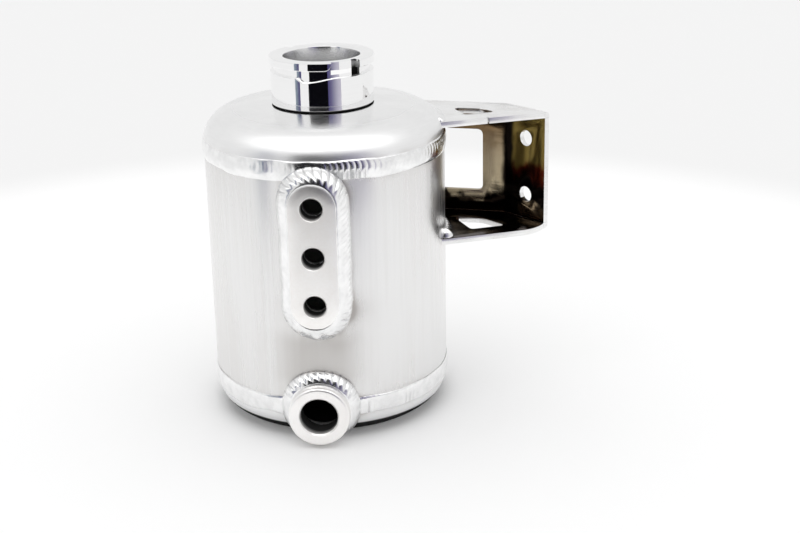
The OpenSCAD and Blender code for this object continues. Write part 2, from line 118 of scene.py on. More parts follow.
def left_of(degrees):
    return direction(degrees + 90)


def polar_of(p):
    return math.degrees(math.atan2(p[1], p[0]))


def radius_of(points):
    return np.hypot(points[:, 0], points[:, 1])


def spokes(polar):
    """Unit vectors out from the tank axis at the polar angles, in radians."""
    return np.stack([np.cos(polar), np.sin(polar), np.zeros(len(polar))], 1)


def arc(centre, radius, start, end, count):
    """Points on an arc from the angle start to the angle end, in degrees, both included."""
    angles = np.radians(np.linspace(start, end, count))
    return [
        (centre[0] + radius * math.cos(a), centre[1] + radius * math.sin(a)) for a in angles
    ]


def crown_z(r, inset=0.0):
    return CROWN_CENTRE_Z + math.sqrt((CROWN_R - inset) ** 2 - r * r)


def tank_r(z):
    """Outside radius of the tank at the height z."""
    for centre_z, beyond in ((KNUCKLE_R, z < KNUCKLE_R), (TOP_KNUCKLE_Z, z > TOP_KNUCKLE_Z)):
        if beyond:
            drop = min(abs(z - centre_z), KNUCKLE_R)
            return KNUCKLE_AT_R + math.sqrt(KNUCKLE_R**2 - drop * drop)
    return TUBE_R


def smoothstep(low, high, x):
    t = np.clip((x - low) / (high - low), 0, 1)
    return t * t * (3 - 2 * t)


def value_noise(points, seed):
    """Smooth repeatable noise from -1 to 1 at each row of points, one cell per unit."""
    cell = np.floor(points).astype(np.int64)
    part = points - cell
    part = part * part * (3 - 2 * part)
    total = np.zeros(len(points))
    for corner in np.ndindex(*(2,) * points.shape[1]):
        key = np.full(len(points), seed, np.int64)
        weight = np.ones(len(points))
        for axis, bit in enumerate(corner):
            key = key * 1000003 + (cell[:, axis] + bit) * (7919 + 104729 * axis)
            weight *= part[:, axis] if bit else 1 - part[:, axis]
        key = (key ^ (key >> 13)) * 1274126177 & 0x7FFFFFFF
        key = (key ^ (key >> 16)) & 0xFFFF
        total += weight * (key / 32767.5 - 1)
    return total


def noise_on(first, second, seed):
    """value_noise over two columns of places."""
    return value_noise(np.stack([first, second], 1), seed)


# --- Mesh builders ---

LATHE_STEPS = 420


def make_object(name, bm, material, sharp=35):
    bmesh.ops.recalc_face_normals(bm, faces=bm.faces)
    if bm.calc_volume(signed=True) < 0:
        bmesh.ops.reverse_faces(bm, faces=bm.faces)
    mesh = bpy.data.meshes.new(name)
    bm.to_mesh(mesh)
    bm.free()
    mesh.shade_smooth()
    mesh.set_sharp_from_angle(angle=math.radians(sharp))
    obj = bpy.data.objects.new(name, mesh)
    bpy.context.scene.collection.objects.link(obj)
    mesh.materials.append(material)
    return obj


def loft(name, rings, material, wrap=True, sharp=35):
    """A closed skin over rings of points. Each ring is a closed loop, and the rings join
    end to end, or stop at flat caps when wrap is False."""
    rings = np.asarray(rings, float)
    count, around = rings.shape[:2]
    bm = bmesh.new()
    verts = [bm.verts.new(p) for p in rings.reshape(-1, 3)]
    for i in range(count if wrap else count - 1):
        k = (i + 1) % count
        for j in range(around):
            m = (j + 1) % around
            corners = (i * around + j, k * around + j, k * around + m, i * around + m)
            bm.faces.new([verts[n] for n in corners])
    if not wrap:
        bm.faces.new(verts[:around])
        bm.faces.new(reversed(verts[-around:]))
    return make_object(name, bm, material, sharp)


def lathe(name, outline, material):
    """Turns a closed outline of (radius, z) round the tank axis."""
    rings = []
    for polar in TAU * np.arange(LATHE_STEPS) / LATHE_STEPS:
        rings.append([(r * math.cos(polar), r * math.sin(polar), z) for r, z in outline])
    return loft(name, rings, material)


def finish_piece(obj, slot, *nodes):
    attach(obj, "root")
    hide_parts(*nodes)
    return obj


# --- Bracket lines ---

END_EDGE = np.array([TUBE_R + 53.2 * MM, 14.8 * MM])
END_ANGLE = -46.0
BACK_ANGLE = -10.0
END_LEN = 29.4 * MM
FOLD = END_EDGE - END_LEN * direction(END_ANGLE)
FOLD_R = 3 * MM
FRONT_ANGLE = 20.0
LOW_ADVANCE = 7.5 * MM
LOW_FRONT = END_EDGE - LOW_ADVANCE * left_of(FRONT_ANGLE)

# --- Materials ---


def add_node(tree, kind, inputs=None, **settings):
    node = tree.nodes.new(kind)
    for key, value in settings.items():
        setattr(node, key, value)
    for key, value in (inputs or {}).items():
        if isinstance(value, bpy.types.NodeSocket):
            tree.links.new(value, node.inputs[key])
        else:
            node.inputs[key].default_value = value
    return node


def math_node(tree, operation, *values):
    inputs = dict(enumerate(values))
    return add_node(tree, "ShaderNodeMath", inputs, operation=operation).outputs[0]


def times(tree, first, second):
    return math_node(tree, "MULTIPLY", first, second)


def plus(tree, first, second):
    return math_node(tree, "ADD", first, second)


def place_in(tree):
    return add_node(tree, "ShaderNodeTexCoord").outputs["Object"]


def length_of(tree, vector):
    return add_node(tree, "ShaderNodeVectorMath", {0: vector}, operation="LENGTH").outputs["Value"]


def attribute_in(tree, name):
    return add_node(tree, "ShaderNodeAttribute", attribute_name=name).outputs["Fac"]


def new_material(name):
    material = bpy.data.materials.new(name)
    material.use_nodes = True
    tree = material.node_tree
    return material, tree, tree.nodes["Principled BSDF"]


def ramp(tree, value, low, high, to_low=0.0, to_high=1.0):
    """value's range low to high, eased smoothly onto to_low to to_high."""
    return add_node(
        tree,
        "ShaderNodeMapRange",
        {0: value, 1: low, 2: high, 3: to_low, 4: to_high},
        interpolation_type="SMOOTHSTEP",
    ).outputs[0]


def mix_colour(tree, factor, first, second):
    inputs = {0: factor, 6: first, 7: second}
    return add_node(tree, "ShaderNodeMix", inputs, data_type="RGBA").outputs[2]


def noise_node(tree, stretch, detail):
    """Noise over the piece's own metres, with stretch cells a metre along X, Y and Z."""
    mapping = add_node(tree, "ShaderNodeMapping", {"Vector": place_in(tree), "Scale": stretch})
    inputs = {"Vector": mapping.outputs[0], "Scale": 1.0, "Detail": detail, "Roughness": 0.55}
    return add_node(tree, "ShaderNodeTexNoise", inputs).outputs["Fac"]


def grey(value, warmth=0.0):
    return (value * (1 + warmth), value, value * (1 - warmth), 1)


def metal(
    name, light, dark, roughness, grain, clouds, bump, stain_and_shade=None, painted_shade=None, stain_and_shade_roughness=0.12
):
    """Aluminium whose colour drifts between dark and light in clouds, and whose roughness
    runs over the given range along its grain. The stain colour comes in by the first vertex
    attribute: heat tint near the welds, and painted shade in the neck's bore and on the
    neck's weld. The valley colour is painted shade, near black, that the second vertex
    attribute brings into hollows, bores and ripple valleys, where the metal also loses its sheen."""
    material, tree, shader = new_material(name)
    shader.inputs["Metallic"].default_value = 1.0
    grains = noise_node(tree, grain, 4)
    cloud = noise_node(tree, clouds, 3)
    blend = plus(tree, times(tree, grains, 0.4), times(tree, cloud, 0.6))
    spread = ramp(tree, blend, 0.35, 0.65)
    colour = mix_colour(tree, spread, dark, light)
    rough = ramp(tree, blend, 0.36, 0.64, roughness[1], roughness[0])
    for attribute, tint, extra in (("stain_and_shade", stain_and_shade, stain_and_shade_roughness), ("painted_shade", painted_shade, 0.1)):
        if tint is None:
            continue
        amount = attribute_in(tree, attribute)
        colour = mix_colour(tree, amount, colour, tint)
        rough = plus(tree, rough, times(tree, amount, extra))
    # Painted shade also takes the metal's sheen away.
    if painted_shade is not None:
        bright = math_node(tree, "SUBTRACT", 1.0, amount)
        tree.links.new(bright, shader.inputs["Metallic"])
        tree.links.new(times(tree, bright, 0.5), shader.inputs["Specular IOR Level"])
    tree.links.new(colour, shader.inputs["Base Color"])
    tree.links.new(rough, shader.inputs["Roughness"])
    inputs = {"Height": grains, "Strength": bump, "Distance": MM}
    relief = add_node(tree, "ShaderNodeBump", inputs)
    tree.links.new(relief.outputs[0], shader.inputs["Normal"])
    return material


# Heights between which the painted reflection and painted shade inside the bracket change
TO_RED = (112 * MM, 121 * MM)
TO_OLIVE = (119 * MM, 127 * MM)
TO_BEIGE = (104 * MM, 100 * MM)
TO_BROWN = (112 * MM, 148 * MM)
TO_SHADE_BLACK = (105 * MM, 101 * MM)
# Painted reflection colours and near-black painted shade for the bracket's inner faces
SHADE_BLACK = (0.006, 0.004, 0.003, 1)
RED = (0.10, 0.012, 0.004, 1)
OLIVE = (0.22, 0.16, 0.045, 1)
BEIGE = (0.40, 0.31, 0.20, 1)
STRAW = (0.36, 0.30, 0.20, 1)
BROWN = (0.17, 0.105, 0.05, 1)
FLOOR_SHADE = (0.030, 0.016, 0.010, 1)


def tint_bracket(material):
    """Colours the faces that carry the inside attribute with painted reflection and painted shade:
    near-black painted shade in the fold and low down, and, as painted reflection, straw and brown
    on the back strip, olive high on the end plate."""
    tree = material.node_tree
    shader = tree.nodes["Principled BSDF"]
    inside = attribute_in(tree, "inside")
    axes = add_node(tree, "ShaderNodeSeparateXYZ", {0: place_in(tree)})
    wander = ramp(tree, noise_node(tree, (90, 90, 70), 3), 0.3, 0.7, -4 * MM, 4 * MM)
    across = plus(tree, axes.outputs["X"], times(tree, wander, 0.15))
    height = plus(tree, axes.outputs["Z"], wander)
    fold_x = float(FOLD[0])
    low = mix_colour(tree, ramp(tree, height, *TO_RED), SHADE_BLACK, RED)
    olive = mix_colour(tree, ramp(tree, height, *TO_OLIVE), low, OLIVE)
    right = ramp(tree, across, fold_x + 6 * MM, fold_x + 11 * MM)
    corner = times(tree, ramp(tree, height, *TO_BEIGE), right)
    end = mix_colour(tree, corner, olive, BEIGE)
    strip = mix_colour(tree, ramp(tree, height, *TO_BROWN), STRAW, BROWN)
    back = mix_colour(tree, ramp(tree, height, *TO_SHADE_BLACK), strip, SHADE_BLACK)
    past_fold = ramp(tree, across, fold_x - 0.5 * MM, fold_x + 1.5 * MM)
    colour = mix_colour(tree, past_fold, back, end)
    # Painted shade, near black, along the fold.
    off_fold = math_node(tree, "SUBTRACT", across, fold_x + 1.2 * MM)
    off_fold = math_node(tree, "ABSOLUTE", off_fold)
    colour = mix_colour(tree, ramp(tree, off_fold, 4.5 * MM, 1.5 * MM), colour, SHADE_BLACK)
    # Painted shade, near black, over the bottom plate's floor.
    floor_z = BRACKET_Z0 + SHEET
    floor_part = ramp(tree, axes.outputs["Z"], floor_z + 1.5 * MM, floor_z)
    colour = mix_colour(tree, floor_part, colour, FLOOR_SHADE)
    plain = shader.inputs["Base Color"].links[0].from_socket
    tree.links.new(mix_colour(tree, inside, plain, colour), shader.inputs["Base Color"])
    rough = shader.inputs["Roughness"].links[0].from_socket
    smoother = times(tree, rough, ramp(tree, inside, 0, 1, 1.0, 0.7))
    tree.links.new(smoother, shader.inputs["Roughness"])


def polish_crown(material):
    """Spun caps shine on the crown and turn satin towards the knuckle."""
    tree = material.node_tree
    shader = tree.nodes["Principled BSDF"]
    level = {0: place_in(tree), 1: (1, 1, 0)}
    flat = add_node(tree, "ShaderNodeVectorMath", level, operation="MULTIPLY")
    radius = length_of(tree, flat.outputs["Vector"])
    rough = shader.inputs["Roughness"].links[0].from_socket
    satin = ramp(tree, radius, KNUCKLE_AT_R - 6 * MM, KNUCKLE_AT_R + 5 * MM, 0.0, 0.17)
    tree.links.new(plus(tree, rough, satin), shader.inputs["Roughness"])


# The valley colours below are painted shade. The stain colours are heat tint on the tube and caps,
# and painted shade on the weld and the polished neck.
BRUSHED = metal(
    "brushed_tube", grey(0.81, 0.002), grey(0.765, 0.012), (0.22, 0.32), (420, 420, 9), (22, 22, 8),
    bump=0.02, stain_and_shade=grey(0.40, 0.06), painted_shade=grey(0.03),
)
SPUN = metal(
    "spun_cap", grey(0.92), grey(0.87), (0.14, 0.20), (90, 90, 900), (30, 30, 30),
    bump=0.01, stain_and_shade=grey(0.45, 0.05), painted_shade=grey(0.02),
)
polish_crown(SPUN)
WELD = metal(
    "weld_bead", grey(0.95), grey(0.84), (0.15, 0.24), (300, 300, 300), (120, 120, 120),
    bump=0.015, stain_and_shade=grey(0.03), painted_shade=grey(0.34, -0.02),
)
POLISHED = metal(
    "polished_neck", grey(0.96), grey(0.93), (0.015, 0.05), (60, 60, 1500), (40, 40, 40),
    bump=0.004, stain_and_shade=grey(0.74), painted_shade=grey(0.01), stain_and_shade_roughness=0.2,
)
MACHINED = metal(
    "machined_fitting", grey(0.975, 0.012), grey(0.935, 0.022), (0.33, 0.40), (900, 900, 900),
    (60, 60, 60), bump=0.02, painted_shade=grey(0.012),
)
SHEET_OUT = metal(
    "bracket_sheet", grey(0.90), grey(0.78, 0.01), (0.16, 0.30), (60, 60, 800), (35, 35, 35),
    bump=0.03,
)
tint_bracket(SHEET_OUT)
INNER = metal(
    "inner_sheet", grey(0.74), grey(0.62), (0.35, 0.5), (300, 300, 300), (40, 40, 40), bump=0.05
)


def set_attribute(obj, name, values, domain="POINT"):
    layer = obj.data.attributes.new(name, "FLOAT", domain)
    layer.data.foreach_set("value", np.asarray(values, np.float32))


def points_of(obj):
    co = np.zeros(len(obj.data.vertices) * 3)
    obj.data.vertices.foreach_get("co", co)
    return co.reshape(-1, 3)


def block_distance(points):
    """How far each point is, seen from the front, outside the port block's outline."""
    z = np.clip(points[:, 2], BLOCK_Z - PORT_PITCH, BLOCK_Z + PORT_PITCH)
    return np.hypot(points[:, 0], points[:, 2] - z) - BLOCK_R


def bung_distance(points):
    return np.hypot(points[:, 0], points[:, 2] - BUNG_Z) - BUNG_R


# --- Tank body ---


def carve(obj, cutters):
    """Cuts the closed cutters out of obj and removes them."""
    for cutter in cutters:
        cut = obj.modifiers.new("cut", "BOOLEAN")
        cut.operation = "DIFFERENCE"
        cut.solver = "EXACT"
        cut.object = cutter
    evaluated = obj.evaluated_get(bpy.context.evaluated_depsgraph_get())
    mesh = bpy.data.meshes.new_from_object(evaluated)
    obj.modifiers.clear()
    obj.data = mesh
    for cutter in cutters:
        bpy.data.objects.remove(cutter)


def drill(radius, z):
    """A cylinder along -Y to cut a port with, from inside the tank to beyond the fittings."""
    angles = np.linspace(0, TAU, 64, endpoint=False)
    rings = [
        [(radius * math.cos(a), y, z + radius * math.sin(a)) for a in angles]
        for y in (-TUBE_R * 0.6, -TUBE_R * 1.5)
    ]
    return loft("cutter", rings, WELD, wrap=False)


def cap_outline(inset, first_r, top=True):
    """Outline of a cap from first_r out to the tube, the distance inset inside its skin."""
    r = KNUCKLE_R - inset
    if not top:
        return (
            [(x, inset) for x in np.linspace(first_r, KNUCKLE_AT_R, 12)[:-1]]
            + arc((KNUCKLE_AT_R, KNUCKLE_R), r, -90, 0, 28)
            + [(TUBE_R - inset, TUBE_Z0)]
        )
    tangent = math.degrees(math.atan2(TOP_KNUCKLE_Z - CROWN_CENTRE_Z, KNUCKLE_AT_R))
    join_r = (CROWN_R - inset) * math.cos(math.radians(tangent))
    crown = [(x, crown_z(x, inset)) for x in np.linspace(first_r, join_r, 30)]
    return (
        crown[:-1]
        + arc((KNUCKLE_AT_R, TOP_KNUCKLE_Z), r, tangent, 0, 32)
        + [(TUBE_R - inset, TUBE_Z1)]
    )


def build_tube():
    levels = np.linspace(TUBE_Z0, TUBE_Z1, 84)
    outline = [(TUBE_R, z) for z in levels] + [(TUBE_R - WALL, z) for z in levels[::-1]]
    obj = lathe("tube_shell", outline, BRUSHED)
    points = points_of(obj)
    polar = np.arctan2(points[:, 1], points[:, 0])
    along = polar * TUBE_R
    waves = noise_on(along / (19 * MM), points[:, 2] / (27 * MM), 5) * 0.09 * MM
    near = np.minimum(block_distance(points), bung_distance(points)) - 6 * MM
    front = points[:, 1] < 0
    pull = 0.28 * MM * np.exp(-np.clip(near, 0, None) / (5 * MM)) * front
    outer = radius_of(points) > TUBE_R - WALL / 2
    ends = smoothstep(0, 5 * MM, points[:, 2] - TUBE_Z0) * smoothstep(
        0, 5 * MM, TUBE_Z1 - points[:, 2]
    )
    scale = 1 + np.where(outer, (waves - 0.09 * MM - pull) * ends / TUBE_R, 0)
    points[:, 0] *= scale
    points[:, 1] *= scale
    obj.data.vertices.foreach_set("co", points.ravel())
    obj.data.update()
    carve(
        obj,
        [drill(PORT.minor_r, z) for z in PORT_LEVELS] + [drill(BUNG_HOLE_R, BUNG_Z)],
    )
    stain_welds_and_shade_inside(obj)
    return finish_piece(obj, "tank_body", "shell_tube")


def stain_welds_and_shade_inside(obj):
    """Grey heat tint on the tank beside the block, the bung and the girth welds, and painted
    shade, near black, on the inside and on the cap under the neck."""
    points = points_of(obj)
    front = smoothstep(0.2, 0.6, -points[:, 1] / TUBE_R)
    blotch = 0.5 + 0.5 * value_noise(points[:, [0, 2]] / (6 * MM) + 40.5, 9)
    gap = np.clip(block_distance(points) - 6.2 * MM, 0, None)
    right = 0.12 + 0.88 * smoothstep(-3 * MM, 12 * MM, points[:, 0])
    height = np.abs(points[:, 2] - BLOCK_Z) / PORT_PITCH
    ends = 0.30 + 0.70 * smoothstep(0.7, 1.3, height)
    block = right * ends * (np.exp(-gap / (1.5 * MM)) + 0.35 * np.exp(-gap / (6 * MM)))
    bung = np.exp(-np.clip(bung_distance(points) - 4.6 * MM, 0, None) / (1.6 * MM))
    between = smoothstep(30 * MM, 8 * MM, np.abs(points[:, 0])) * smoothstep(
        20 * MM, 8 * MM, np.abs(points[:, 2] - (BUNG_Z + BUNG_R + 11 * MM))
    )
    low_right = smoothstep(2 * MM, 12 * MM, points[:, 0]) * smoothstep(
        -24 * MM, -34 * MM, points[:, 2] - BLOCK_Z
    )
    block *= 1 + 0.9 * low_right
    amount = front * (block * (0.55 + 0.6 * blotch) + bung * 0.45 * blotch + 0.55 * between)
    for z in (TUBE_Z0, TUBE_Z1):
        beside = np.abs(points[:, 2] - z) - 5 * MM
        edge = np.exp(-np.clip(beside, 0, None) / (1.2 * MM)) * (beside > -MM)
        amount += (0.10 + 0.45 * front * right) * blotch * edge
    set_attribute(obj, "stain_and_shade", np.clip(amount, 0, 0.9))
    # Painted shade: the inside of the tank and the cap under the neck are painted near black.
    radius = radius_of(points)
    inside = (radius < TUBE_R - WALL * 0.8) & (points[:, 2] > 0.6 * WALL)
    inside &= points[:, 2] < TOP_KNUCKLE_Z
    under_neck = (radius < NECK_R - 1.0 * MM) & (points[:, 2] > TOP_KNUCKLE_Z)
    set_attribute(obj, "painted_shade", (inside | under_neck).astype(float))


def build_caps():
    outline = cap_outline(0, SPIGOT_R) + cap_outline(WALL, SPIGOT_R)[::-1]
    top = lathe("top_cap", outline, SPUN)
    stain_welds_and_shade_inside(top)
    finish_piece(top, "spun_cap", "top_end_cap")
    centre_r = 0.02 * MM
    outline = cap_outline(0, centre_r, False) + cap_outline(WALL, centre_r, False)[::-1]
    low = lathe("bottom_cap", outline, SPUN)
    carve(low, [drill(BUNG_HOLE_R, BUNG_Z)])
    stain_welds_and_shade_inside(low)
    finish_piece(low, "spun_cap", "bottom_end_cap")


# --- Welds ---

GIRTH_HALF = 5 * MM
# Spacing of the ripples in millimetres of bead, and the bung's number of them
GIRTH_PITCH = 2.9
BLOCK_RIPPLE = 2.85
SADDLE_RIPPLE = 3.1
REAR_RIPPLE = 3
NECK_RIPPLE = 2.05
BUNG_LAPS = 31


def ripple(phase):
    """Stacked weld ripples: round crests with sharp valleys, 0 to 1."""
    return np.abs(np.sin(math.pi * phase)) ** 0.9


def bead(name, tops, feet, bulges, buried, bump, wrap=True, across=16):
    """A weld bead from the line tops to the line feet. bulges says which way and how far it
    swells at each station, buried is one point inside the metal for each, and bump gives
    the ripple height at (station, 0 to 1 across)."""
    tops, feet, bulges, buried = (np.asarray(a, float) for a in (tops, feet, bulges, buried))
    s = np.linspace(0, 1, across)
    swell = np.sqrt(np.clip(4 * s * (1 - s), 0, 1))
    size = np.linalg.norm(bulges, axis=1, keepdims=True)
    way = bulges / size
    stations = np.arange(len(tops))
    heights = np.stack([bump(stations, np.full(len(stations), v)) for v in s], 1)
    surface = (
        tops[:, None] * (1 - s)[None, :, None]
        + feet[:, None] * s[None, :, None]
        + way[:, None] * (size * swell[None] + heights * swell[None])[..., None]
    )
    rings = np.concatenate([surface, buried[:, None]], 1)
    obj = loft(name, rings, WELD, wrap=wrap, sharp=60)
    # Painted shade in the ripples: the steep outer ripples are painted darker where they dip.
    painted_shade = 1 - np.clip(heights / (0.42 * MM), 0, 1)
    outer_part = smoothstep(0.15, 0.6, s) * (s < 1)
    steep = smoothstep(0.2 * MM, 0.45 * MM, np.ptp(heights, axis=1))[:, None]
    values = np.concatenate([painted_shade**2 * 0.9 * outer_part * steep, np.zeros((len(tops), 1))], 1)
    set_attribute(obj, "painted_shade", values.ravel())
    return obj


def girth_bead(name, z, node, seed, strong):
    """Band round the tank. Its ripples are bold over the polar range strong and faint
    elsewhere, and lean as they were laid."""
    count = 1500
    polar = np.linspace(0, TAU, count, endpoint=False)
    out = spokes(polar)
    along = polar * TUBE_R / MM
    drift = noise_on(along / 9, np.full(count, seed), seed)
    tops, feet = out * tank_r(z + GIRTH_HALF), out * tank_r(z - GIRTH_HALF)
    tops[:, 2] = z + GIRTH_HALF + np.roll(drift, 311) * 0.35 * MM
    feet[:, 2] = z - GIRTH_HALF + drift * 0.55 * MM
    bold = 0.06 + 0.94 * np.max(
        [
            size
            * smoothstep(a - 8, a + 4, np.degrees(polar))
            * smoothstep(b + 14, b - 6, np.degrees(polar))
            for a, b, size in strong
        ],
        axis=0,
    )

    def bump(station, s):
        phase = along[station] / GIRTH_PITCH + 0.3 * drift[station] + 3.4 * (s - 0.36) ** 2
        upper = 0.04 + 0.96 * smoothstep(0.72, 0.40, s)
        lump = noise_on(along[station] / 4.5, s * 2.4 + seed, seed + 3)
        return (ripple(phase) * 0.40 * bold[station] * upper + lump * 0.10 - 0.1) * MM

    buried = out * (TUBE_R - 1.5 * MM) + (0, 0, z)
    obj = bead(name, tops, feet, out * 0.85 * MM, buried, bump, across=22)
    if z < BUNG_Z + BUNG_R:
        carve(obj, [drill(BUNG_HOLE_R, BUNG_Z)])
    return finish_piece(obj, "weld_bead", node)


def obround(radius, count):
    """Stations round the port block's outline as ((x, z), (nx, nz), length so far), from the
    lower right, counterclockwise seen from the front."""
    straight = 2 * PORT_PITCH
    turn = math.pi * radius
    total = 2 * (straight + turn)
    stations = []
    for i in range(count):
        d = total * i / count
        side = 1 if d < total / 2 else -1
        run = d % (total / 2)
        if run < straight:
            n = (side, 0)
            z = side * (run - PORT_PITCH)
        else:
            a = (run - straight) / radius
            n = (side * math.cos(a), side * math.sin(a))
            z = side * PORT_PITCH
        stations.append(((radius * n[0], BLOCK_Z + z + radius * n[1]), n, d))
    return stations, total


def on_tank(x, z, sink=0.0):
    """The point of the tank's front at x, z, the distance sink inside its skin."""
    r = tank_r(z) - sink
    return (x, -math.sqrt(r * r - x * x), z)


def block_weld():
    count = 1100
    stations, total = obround(BLOCK_R, count)
    tops, feet, bulges, buried = [], [], [], []
    bold, lumps = np.zeros(count), np.zeros(count)
    for i, ((x, z), (nx, nz), d) in enumerate(stations):
        up = max(nz, 0)
        down = max(-nz, 0)
        wander = value_noise(np.array([[d / (6 * MM), 2.5]]), 17)[0]
        leg = (6.0 + 1.0 * up + 2.2 * down * (1 + 0.3 * nx) + 0.45 * wander) * MM
        top_y = BLOCK_FACE_Y + (0.4 + 0.5 * abs(nx) - 0.2 * down) * MM
        inset = (0.25 + 0.5 * down) * MM
        tops.append((x - inset * nx, top_y, z - inset * nz))
        feet.append(on_tank(x + nx * leg, z + nz * leg, -0.15 * MM))
        bulges.append(np.array([nx, -1.1, nz]) * (1.0 + 0.5 * up + 0.7 * down) * MM)
        buried.append(on_tank(x + nx * 0.5 * MM, z + nz * 0.5 * MM, 1.2 * MM))
        bold[i] = 0.10 + 0.9 * smoothstep(0.15, 0.6, up) + 0.2 * down + 0.08 * max(nx, 0)
        lumps[i] = smoothstep(0.1, 0.8, down)
    lengths = np.array([d for _, _, d in stations]) / MM
    laps = round(total / MM / BLOCK_RIPPLE)
    pitch = total / MM / laps

    def bump(station, s):
        wave = ripple(lengths[station] / pitch + 0.95 * (1 - s) ** 2 - 0.3 * s)
        noise = noise_on(lengths[station] / 2.6, s * 2.6 + 7, 23)
        start = smoothstep(0.05, 0.45, s)
        rough = 0.04 + 0.7 * lumps[station]
        return (wave * 0.7 * bold[station] + noise * rough) * start * MM

    obj = bead("port_block_bead", tops, feet, bulges, buried, bump, across=22)
    return finish_piece(obj, "weld_bead", "port_block_weld")


def bung_weld():
    count = 720
    tops, feet, bulges, buried = [], [], [], []
    angles = np.linspace(0, TAU, count, endpoint=False)
    bold = 0.15 + 0.85 * smoothstep(0.1, 0.75, np.sin(angles))
    for a in angles:
        nx, nz = math.cos(a), math.sin(a)
        up = max(nz, 0)
        wander = value_noise(np.array([[a * 3, 4.5]]), 31)[0]
        leg = (4.5 + 0.8 * up + 0.3 * wander) * MM
        foot_z = max(BUNG_Z + nz * (BUNG_R + leg), 1.0 * MM)
        foot = on_tank(nx * (BUNG_R + leg), foot_z, -0.1 * MM)
        rise = (tank_r(max(BUNG_Z + nz * BUNG_R, 1.2 * MM)) + 4.4 * MM + 0.8 * MM * up)
        tops.append((nx * (BUNG_R - 0.2 * MM), -rise, BUNG_Z + nz * (BUNG_R - 0.2 * MM)))
        feet.append(foot)
        bulges.append(np.array([nx, -0.9, nz]) * 0.95 * MM)
        inside_z = max(BUNG_Z + nz * (BUNG_R + 0.5 * MM), 1.4 * MM)
        buried.append(on_tank(nx * (BUNG_R + 0.3 * MM), inside_z, 1.2 * MM))
    around = angles * BUNG_R / MM
    pitch = TAU * BUNG_R / MM / BUNG_LAPS

    def bump(station, s):
        wave = ripple(around[station] / pitch + 0.5 * (1 - s) ** 2 - 0.15 * s)
        noise = noise_on(around[station] / 3, s * 3, 37)
        return (wave * 0.55 * bold[station] + noise * 0.05) * smoothstep(0.05, 0.4, s) * MM

    obj = bead("outlet_bung_bead", tops, feet, bulges, buried, bump, across=20)
    return finish_piece(obj, "weld_bead", "outlet_bung_weld")


# --- Fittings ---


def thread_rings(z, mouth_y, thread, around):
    """Rings of a threaded bore along +Y from its mouth, with a countersink first."""
    angles = np.linspace(0, TAU, around, endpoint=False)
    depth = FITTING_BACK_Y - mouth_y
    steps = np.linspace(0, 1, int(depth / thread.lead * RINGS_PER_LEAD))
    rings = []
    for step in steps:
        deep = step * depth
        turn = (deep / thread.lead + angles / TAU) % 1
        tooth = np.clip(1.15 * (1 - np.abs(2 * turn - 1) * 1.25) + 0.1, 0, 1)
        flank = thread.major_r - (thread.major_r - thread.minor_r) * tooth
        radius = np.maximum(flank, thread.mouth_r - deep * 1.1)
        y = np.full(around, mouth_y + deep)
        rings.append(np.stack([radius * np.cos(angles), y, z + radius * np.sin(angles)], 1))
    return rings


def skin(bm, rings):
    """Joins rows of vertices that are already in bm."""
    for first, second in zip(rings, rings[1:]):
        n = len(first)
        for j in range(n):
            bm.faces.new([first[j], second[j], second[(j + 1) % n], first[(j + 1) % n]])


def rows(bm, rings):
    return [[bm.verts.new(p) for p in ring] for ring in rings]


def fill_between(bm, outer, inners):
    """Flat face between a closed row of vertices and the closed rows inside it."""
    edges = []
    for loop in [outer, *inners]:
        for a, b in zip(loop, loop[1:] + loop[:1]):
            edges.append(bm.edges.get((a, b)) or bm.edges.new((a, b)))
    bmesh.ops.triangle_fill(bm, use_beauty=True, edges=edges)


def build_block():
    """The port block: an obround bar with a small edge chamfer and three tapped ports."""
    bm = bmesh.new()
    chamfer = 0.45 * MM
    levels = [
        (BLOCK_R - chamfer, BLOCK_FACE_Y),
        (BLOCK_R - chamfer * 0.3, BLOCK_FACE_Y + chamfer * 0.3),
        (BLOCK_R, BLOCK_FACE_Y + chamfer),
        (BLOCK_R, FITTING_BACK_Y),
    ]
    rings = []
    for radius, y in levels:
        inset = BLOCK_R - radius
        stations = obround(BLOCK_R, 220)[0]
        rings.append([(x - nx * inset, y, z - nz * inset) for (x, z), (nx, nz), _ in stations])
    walls = rows(bm, rings)
    skin(bm, walls)
    mouths, ends = [], []
    for z in PORT_LEVELS:
        bore = rows(bm, thread_rings(z, BLOCK_FACE_Y, PORT, 96))
        skin(bm, bore)
        mouths.append(bore[0])
        ends.append(bore[-1])
    fill_between(bm, walls[0], mouths)
    fill_between(bm, walls[-1], ends)
    obj = make_object("port_block_body", bm, MACHINED, 32)
    darken_bores(obj, BLOCK_FACE_Y + 0.25 * MM)
    return finish_piece(obj, "machined_fitting", "port_block")


def darken_bores(obj, from_y):
    """Paints shade into a fitting's bores: their threads turn darker with depth from the mouth."""
    points = points_of(obj)
    deep = 0.6 * smoothstep(0, 0.5 * MM, points[:, 1] - from_y)
    deep += 0.38 * smoothstep(0, 5 * MM, points[:, 1] - from_y)
    inside = np.zeros(len(points), bool)
    for z in PORT_LEVELS:
        inside |= np.hypot(points[:, 0], points[:, 2] - z) < PORT.mouth_r
    inside |= np.hypot(points[:, 0], points[:, 2] - BUNG_Z) < BUNG.mouth_r
    set_attribute(obj, "painted_shade", np.where(inside, deep, 0))


